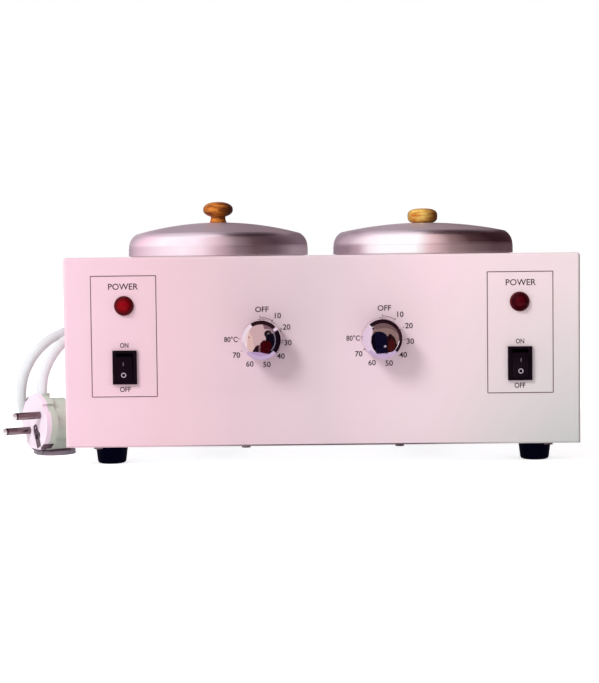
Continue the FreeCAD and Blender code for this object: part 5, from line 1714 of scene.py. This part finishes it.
def dim_back(tree, x, y, z, radius, colour):
    """Darkens the part of a wall that stands low behind the object."""
    low = scaled(tree, z, 1, 0, BEHIND_TOP - 0.1, BEHIND_TOP + 0.1)
    back = scaled(tree, y, 0, 1, 0.4 * radius, 0.6 * radius)
    near = scaled(tree, reckoned(tree, "ABSOLUTE", x), 1, 0, 0.4 * radius, 0.8 * radius)
    share = reckoned(tree, "MULTIPLY", reckoned(tree, "MULTIPLY", low, back), near)
    along = scaled(tree, x, 0, 1, -0.3 * radius, 0.3 * radius)
    return mixed(tree, share, colour, mixed(tree, along, *(linear(*shown) for shown in BEHIND)))


def from_centre(tree, centre):
    """X and Y of a point from a centre, and its height."""
    place = tree.nodes.new("ShaderNodeNewGeometry")
    apart = tree.nodes.new("ShaderNodeSeparateXYZ")
    tree.links.new(place.outputs["Position"], apart.inputs["Vector"])
    x, y = (reckoned(tree, "SUBTRACT", apart.outputs[axis], centre["XY".index(axis)]) for axis in "XY")
    return x, y, apart.outputs["Z"]


print("the dim back is lit", BEHIND[0], "at its left and", BEHIND[1], "at its right")

# %% [markdown]
# ## The room's wall
# The wall itself is a cone operator with equal radii and no caps, in other words an open tube. It stands well
# beyond the box on all sides, so one wall serves both lids.

# %% Room wall
WALL_RADIUS = 0.62
WALL_HEIGHT = 12.0
# What the room's wall shows, by its bearing in degrees from the front towards the right.
ROOM = (
    (-180, (150, 132, 144)),
    (-120, (226, 204, 216)),
    (-60, (255, 246, 252)),
    (-10, (255, 228, 238)),
    (20, (170, 146, 152)),
    (50, (60, 36, 44)),
    (120, (40, 18, 26)),
    (180, (96, 76, 84)),
)


def make_tube(name, centre, radius, heights, material):
    """An open upright tube that only mirrors see."""
    low, high = heights
    place = Matrix.Translation((*centre, (low + high) / 2))
    shape = bmesh.new()
    bmesh.ops.create_cone(
        shape, cap_ends=False, segments=72, radius1=radius, radius2=radius, depth=high - low, matrix=place
    )
    make_card(name, shape, material)
    print(f"{name}: a tube of radius {radius:.3f} m, {high - low:.3f} m tall")


def make_room():
    """The wall of the room."""
    material, glow = glow_of("room_wall")
    tree = material.node_tree
    x, y, z = from_centre(tree, (0, 0))
    colour = dim_back(tree, x, y, z, WALL_RADIUS, by_bearing(tree, x, y, ROOM))
    tree.links.new(colour, glow.inputs["Color"])
    make_tube("room_wall", (0, 0), WALL_RADIUS, (0, WALL_HEIGHT), material)


make_room()

# %% [markdown]
# ## Rings round the lids
# The side of a lid mirrors what is level with it: the top of the box, the other lid and the edge of the table,
# all close by. One far wall can't give both lids their own streaks, so a low ring stands close round each lid.
# It has one list of bearings for the shoulder and one, a little different, for the upright band below.

# %% Lid rings
# What a low ring close round each lid shows, by the same bearing: above, and in line with the lid's band.
ROUND_LID = {
    "left": (
        (
            (-180, (190, 176, 186)),
            (-90, (186, 168, 178)),
            (-64, (252, 214, 230)),
            (-40, (255, 252, 255)),
            (-13, (255, 238, 248)),
            (1, (226, 196, 204)),
            (16, (140, 118, 124)),
            (29, (88, 68, 72)),
            (47, (72, 50, 60)),
            (80, (112, 94, 102)),
            (180, (110, 90, 100)),
        ),
        (
            (-180, (190, 176, 186)),
            (-90, (170, 150, 162)),
            (-64, (222, 190, 204)),
            (-40, (250, 226, 236)),
            (-22, (255, 240, 248)),
            (-8, (246, 222, 230)),
            (2, (204, 172, 182)),
            (16, (130, 108, 114)),
            (29, (94, 74, 78)),
            (47, (98, 78, 86)),
            (66, (148, 130, 138)),
            (180, (120, 100, 110)),
        ),
    ),
    "right": (
        (
            (-180, (190, 176, 186)),
            (-95, (150, 132, 142)),
            (-66, (200, 174, 186)),
            (-47, (255, 240, 246)),
            (-34, (255, 255, 255)),
            (-7, (255, 255, 255)),
            (2, (234, 200, 202)),
            (16, (140, 112, 112)),
            (31, (74, 50, 52)),
            (54, (42, 20, 26)),
            (80, (50, 28, 32)),
            (180, (96, 78, 84)),
        ),
        (
            (-180, (190, 176, 186)),
            (-95, (136, 116, 128)),
            (-66, (146, 122, 132)),
            (-53, (186, 158, 168)),
            (-43, (250, 236, 242)),
            (-34, (255, 255, 255)),
            (-9, (255, 255, 255)),
            (1, (222, 188, 190)),
            (16, (150, 124, 124)),
            (31, (114, 92, 94)),
            (54, (84, 62, 68)),
            (180, (96, 78, 84)),
        ),
    ),
}
BAND_TOP = (136.5 * MM, 139.5 * MM)
RING_RADIUS = 67 * MM
RING_HEIGHTS = (130.6 * MM, 172 * MM)
RING_GLOW = 1.08


def make_lid_ring(side):
    """A low ring whose upper and lower parts have their own bearings."""
    centre = middle(f"{side}_lid")[:2]
    name = f"{side}_lid_ring"
    material, glow = glow_of(name)
    tree = material.node_tree
    x, y, z = from_centre(tree, centre)
    above, band = (by_bearing(tree, x, y, stops) for stops in ROUND_LID[side])
    colour = mixed(tree, scaled(tree, z, 0, 1, *BAND_TOP), band, above)
    tree.links.new(colour, glow.inputs["Color"])
    glow.inputs["Strength"].default_value = RING_GLOW
    make_tube(name, centre, RING_RADIUS, RING_HEIGHTS, material)


for side in SIDES:
    make_lid_ring(side)

# %% [markdown]
# ## Shapes before the dial knobs
# The swelling front of each knob shows a small, sharp picture of the room: dark furniture, something red, a
# bright spot. To draw it, each shape's corners are given on the knob's front, in parts of its radius. From
# there the mirror's own law finds where the shape has to stand: a ray from the viewer is thrown back by the
# swelling, and followed until it is 45 mm in front. Painting the picture on the knob would be simpler, but it
# would not slide over the metal as a reflection does.

# %% Mirrored shapes
CARD_GAP = 0.045  # from a dial knob's front to the shapes that it reflects
RIM_SLOPE = math.asin(KNOB_DISC / KNOB_SPHERE)  # lean of the knob's front at its rim


def arc_at(inner, outer, first, last):
    """Corners of a narrow band on an arc about the middle, between two angles in degrees."""
    angles = [math.radians(first + (last - first) * number / 16) for number in range(17)]
    near = [(inner * math.cos(angle), inner * math.sin(angle)) for angle in angles]
    return near + [(outer * math.cos(angle), outer * math.sin(angle)) for angle in reversed(angles)]


# Shapes that each knob's front reflects, in parts of its radius to the right and up, back to front.
MIRRORED = {
    "left": (
        ("cream", (214, 184, 184), ((-1.1, -1.1), (1.1, -1.1), (1.1, 1.1), (-1.1, 1.1))),
        ("warm_side", (232, 200, 190), ((-1.1, -1.1), (-0.35, -1.1), (-0.5, 0.2), (-0.75, 0.6), (-1.1, 0.7))),
        (
            "light_side",
            (246, 226, 226),
            ((-1.1, -0.6), (-0.88, -0.5), (-0.82, 0.4), (-0.6, 0.9), (-1.1, 1.1)),
        ),
        ("smudge", (150, 116, 112), disc_at(-0.76, 0.2, 0.05)),
        (
            "dusk",
            (132, 102, 110),
            ((0.1, 1.1), (0.22, 0.7), (0.5, 0.72), (0.8, 0.45), (1.1, 0.2), (1.1, 1.1)),
        ),
        ("ring", (26, 10, 20), disc_at(0.45, 0.4, 0.245)),
        ("ring_inside", (112, 96, 96), disc_at(0.48, 0.41, 0.09)),
        (
            "navy",
            (12, 6, 22),
            (
                (0.1, -0.95), (1.2, -0.95), (1.2, 0.24), (1.0, 0.44),
                (0.66, 0.46), (0.3, 0.3), (0.3, 0.0), (0.1, -0.7),
            ),
        ),
        (
            "dark_red",
            (60, 2, 8),
            (
                (-0.06, -0.95), (0.4, -0.95), (0.56, -0.7), (0.66, -0.38),
                (0.56, -0.06), (0.16, 0.03), (-0.04, -0.16),
            ),
        ),
        ("gap", (122, 90, 98), ((-0.2, -0.9), (-0.06, -0.9), (-0.05, -0.24), (-0.17, -0.3))),
        (
            "shade",
            (34, 8, 18),
            ((-0.56, -0.9), (-0.17, -0.9), (-0.15, -0.33), (-0.24, -0.28), (-0.36, -0.4), (-0.54, -0.68)),
        ),
        ("light_line", (150, 146, 164), arc_at(0.9, 0.94, 48, -46)),
        (
            "lavender",
            (190, 164, 206),
            ((-1.1, -1.1), (0.7, -1.1), (0.6, -0.9), (0.3, -0.86), (0.0, -0.76), (-0.47, -0.72), (-1.1, -0.82)),
        ),
    ),
    "right": (
        ("pale", (240, 222, 236), ((-1.1, -1.1), (1.1, -1.1), (1.1, 1.1), (-1.1, 1.1))),
        ("olive", (148, 122, 116), ((-0.7, 0.1), (1.1, -1.1), (1.1, 1.1), (-0.5, 1.1), (-0.62, 0.6))),
        (
            "olive_shade",
            (118, 92, 92),
            ((-0.62, 0.72), (-0.4, 0.62), (0.2, 0.7), (0.6, 0.6), (1.1, 0.2), (1.1, 1.1), (-0.6, 1.1)),
        ),
        ("notch", (60, 36, 46), disc_at(-0.62, 0.66, 0.07)),
        (
            "navy",
            (10, 8, 36),
            (
                (-0.4, -0.94), (0.3, -0.94), (0.26, 0.18), (0.16, 0.33), (-0.02, 0.44),
                (-0.2, 0.48), (-0.5, 0.46), (-0.72, 0.2), (-0.76, -0.2), (-0.64, -0.62),
            ),
        ),
        (
            "edge",
            (8, 2, 12),
            (
                (-0.4, -0.94), (-0.48, -0.5), (-0.54, 0.1), (-0.48, 0.46),
                (-0.72, 0.2), (-0.76, -0.2), (-0.64, -0.62),
            ),
        ),
        (
            "brown_top",
            (34, 10, 16),
            ((0.24, -0.9), (0.72, -0.8), (0.92, -0.42), (0.72, 0.1), (0.44, 0.36), (0.24, 0.12)),
        ),
        (
            "brown",
            (70, 20, 20),
            ((0.3, -0.7), (0.6, -0.84), (0.74, -0.6), (0.78, -0.3), (0.6, 0.0), (0.36, -0.1)),
        ),
        ("glint", (206, 192, 208), disc_at(0.13, -0.45, 0.07)),
        (
            "lavender",
            (200, 178, 214),
            ((-1.1, -1.1), (0.7, -1.1), (0.6, -0.94), (0.1, -0.92), (-0.4, -0.94), (-1.1, -0.8)),
        ),
    ),
}
print({side: len(shapes) for side, shapes in MIRRORED.items()}, "shapes before the knobs")

# %% [markdown]
# ## Where the shapes stand
# Each corner is thrown back on its own, and the card bends a little to meet them all, so the shape in the
# mirror keeps the corners of the list. Later shapes stand a millimetre nearer, so that they cover earlier ones.

# %% Placing the shapes


def thrown_back(knob, x, up, gap):
    """Where the knob's front, at a place given in parts of its radius, shows something at a gap before it."""
    slope = RIM_SLOPE * math.hypot(x, up)
    turn = math.atan2(up, x)
    normal = Vector((math.sin(slope) * math.cos(turn), -math.cos(slope), math.sin(slope) * math.sin(turn)))
    ray = (knob - CAMERA_AT).normalized()
    away = ray - 2 * ray.dot(normal) * normal
    return knob + Vector((x, 0, up)) * KNOB_DISC + away * gap / -away.y


def make_mirrored(side, depth, name, colour, corners):
    """One shape in front of a dial knob."""
    centre = middle(f"{side}_dial_knob")
    knob = Vector((centre.x, FRONT - KNOB_REACH, centre.z))
    points = [thrown_back(knob, x, up, CARD_GAP - depth * MM) for x, up in corners]
    make_card(f"{side}_{name}", one_face(points), flat_glow(f"{side}_{name}", colour))


for side, shapes in MIRRORED.items():
    for depth, shape in enumerate(shapes):
        make_mirrored(side, depth, *shape)
    print(f"{side} knob: the nearest shape is {(CARD_GAP - depth * MM) / MM:.0f} mm before it")

# %% [markdown]
# ## Cards over and under the knobs
# The sloping ring round each knob's front looks up, down and to the side. Level cards above it give its upper
# half a dark arc, level cards below give a pale violet one, and upright cards between the knobs give each its
# own side. A dark cloth lies low at the right. Each entry is a range along X, a range in height and a colour.

# %% Cards round the knobs
# Cards over, under and between the dial knobs: ranges along x and in height, and the colour.
SHELVES = (
    ("left_hood", (-0.06, -0.006), (0.112, 0.112), (44, 22, 28)),
    ("right_hood", (0.006, 0.08), (0.112, 0.112), (38, 18, 26)),
    ("left_tray", (-0.075, -0.002), (0.045, 0.045), (206, 186, 218)),
    ("left_mat", (-0.3, -0.075), (0.045, 0.045), (234, 214, 226)),
    ("right_tray", (0.002, 0.072), (0.045, 0.045), (206, 186, 218)),
    ("left_divider", (-0.001, -0.001), (0.03, 0.1), (20, 8, 18)),
    ("right_divider", (0.001, 0.001), (0.03, 0.112), (238, 218, 238)),
    ("dark_cloth", (-0.002, 0.6), (0.002, 0.002), (34, 16, 26)),
)
CARD_FRONT = -162 * MM  # how far the cards come forward


def make_flat_card(name, x_range, heights, colour):
    """A level or upright card between the panel and the room."""
    (x1, x2), (z1, z2) = x_range, heights
    corners = [(x1, CARD_FRONT, z1), (x2, CARD_FRONT, z2), (x2, FRONT, z2), (x1, FRONT, z1)]
    make_card(name, one_face(corners), flat_glow(name, colour))


for card in SHELVES:
    make_flat_card(*card)
print(len(SHELVES), "cards round the knobs")

# %% [markdown]
# ## Key light
# One soft light stands high on the front left. It gives the knobs their shadows to the lower right and the
# panel its brighter left side. A sun would throw hard shadows; a square of half a metre blurs them as a window
# or a softbox would. Mirrors don't see it, so it leaves no square on the metal.

# %% Key light
KEY_AT = Vector((-0.9, -1.1, 1.1))
KEY_TARGET = Vector((0, 0, 0.08))
KEY_SIDE = 0.5
KEY_POWER = 15  # watts


def make_key_light():
    """A soft square light that points at the middle of the panel."""
    data = bpy.data.lights.new("key", "AREA")
    data.shape = "SQUARE"
    data.size = KEY_SIDE
    data.energy = KEY_POWER
    light = bpy.data.objects.new("key", data)
    light.visible_glossy = False
    turn = (KEY_TARGET - KEY_AT).to_track_quat("-Z", "Y").to_matrix().to_4x4()
    light.matrix_world = Matrix.Translation(KEY_AT) @ turn
    bpy.context.scene.collection.objects.link(light)


make_key_light()
print(f"key light {KEY_AT.length:.2f} m away")
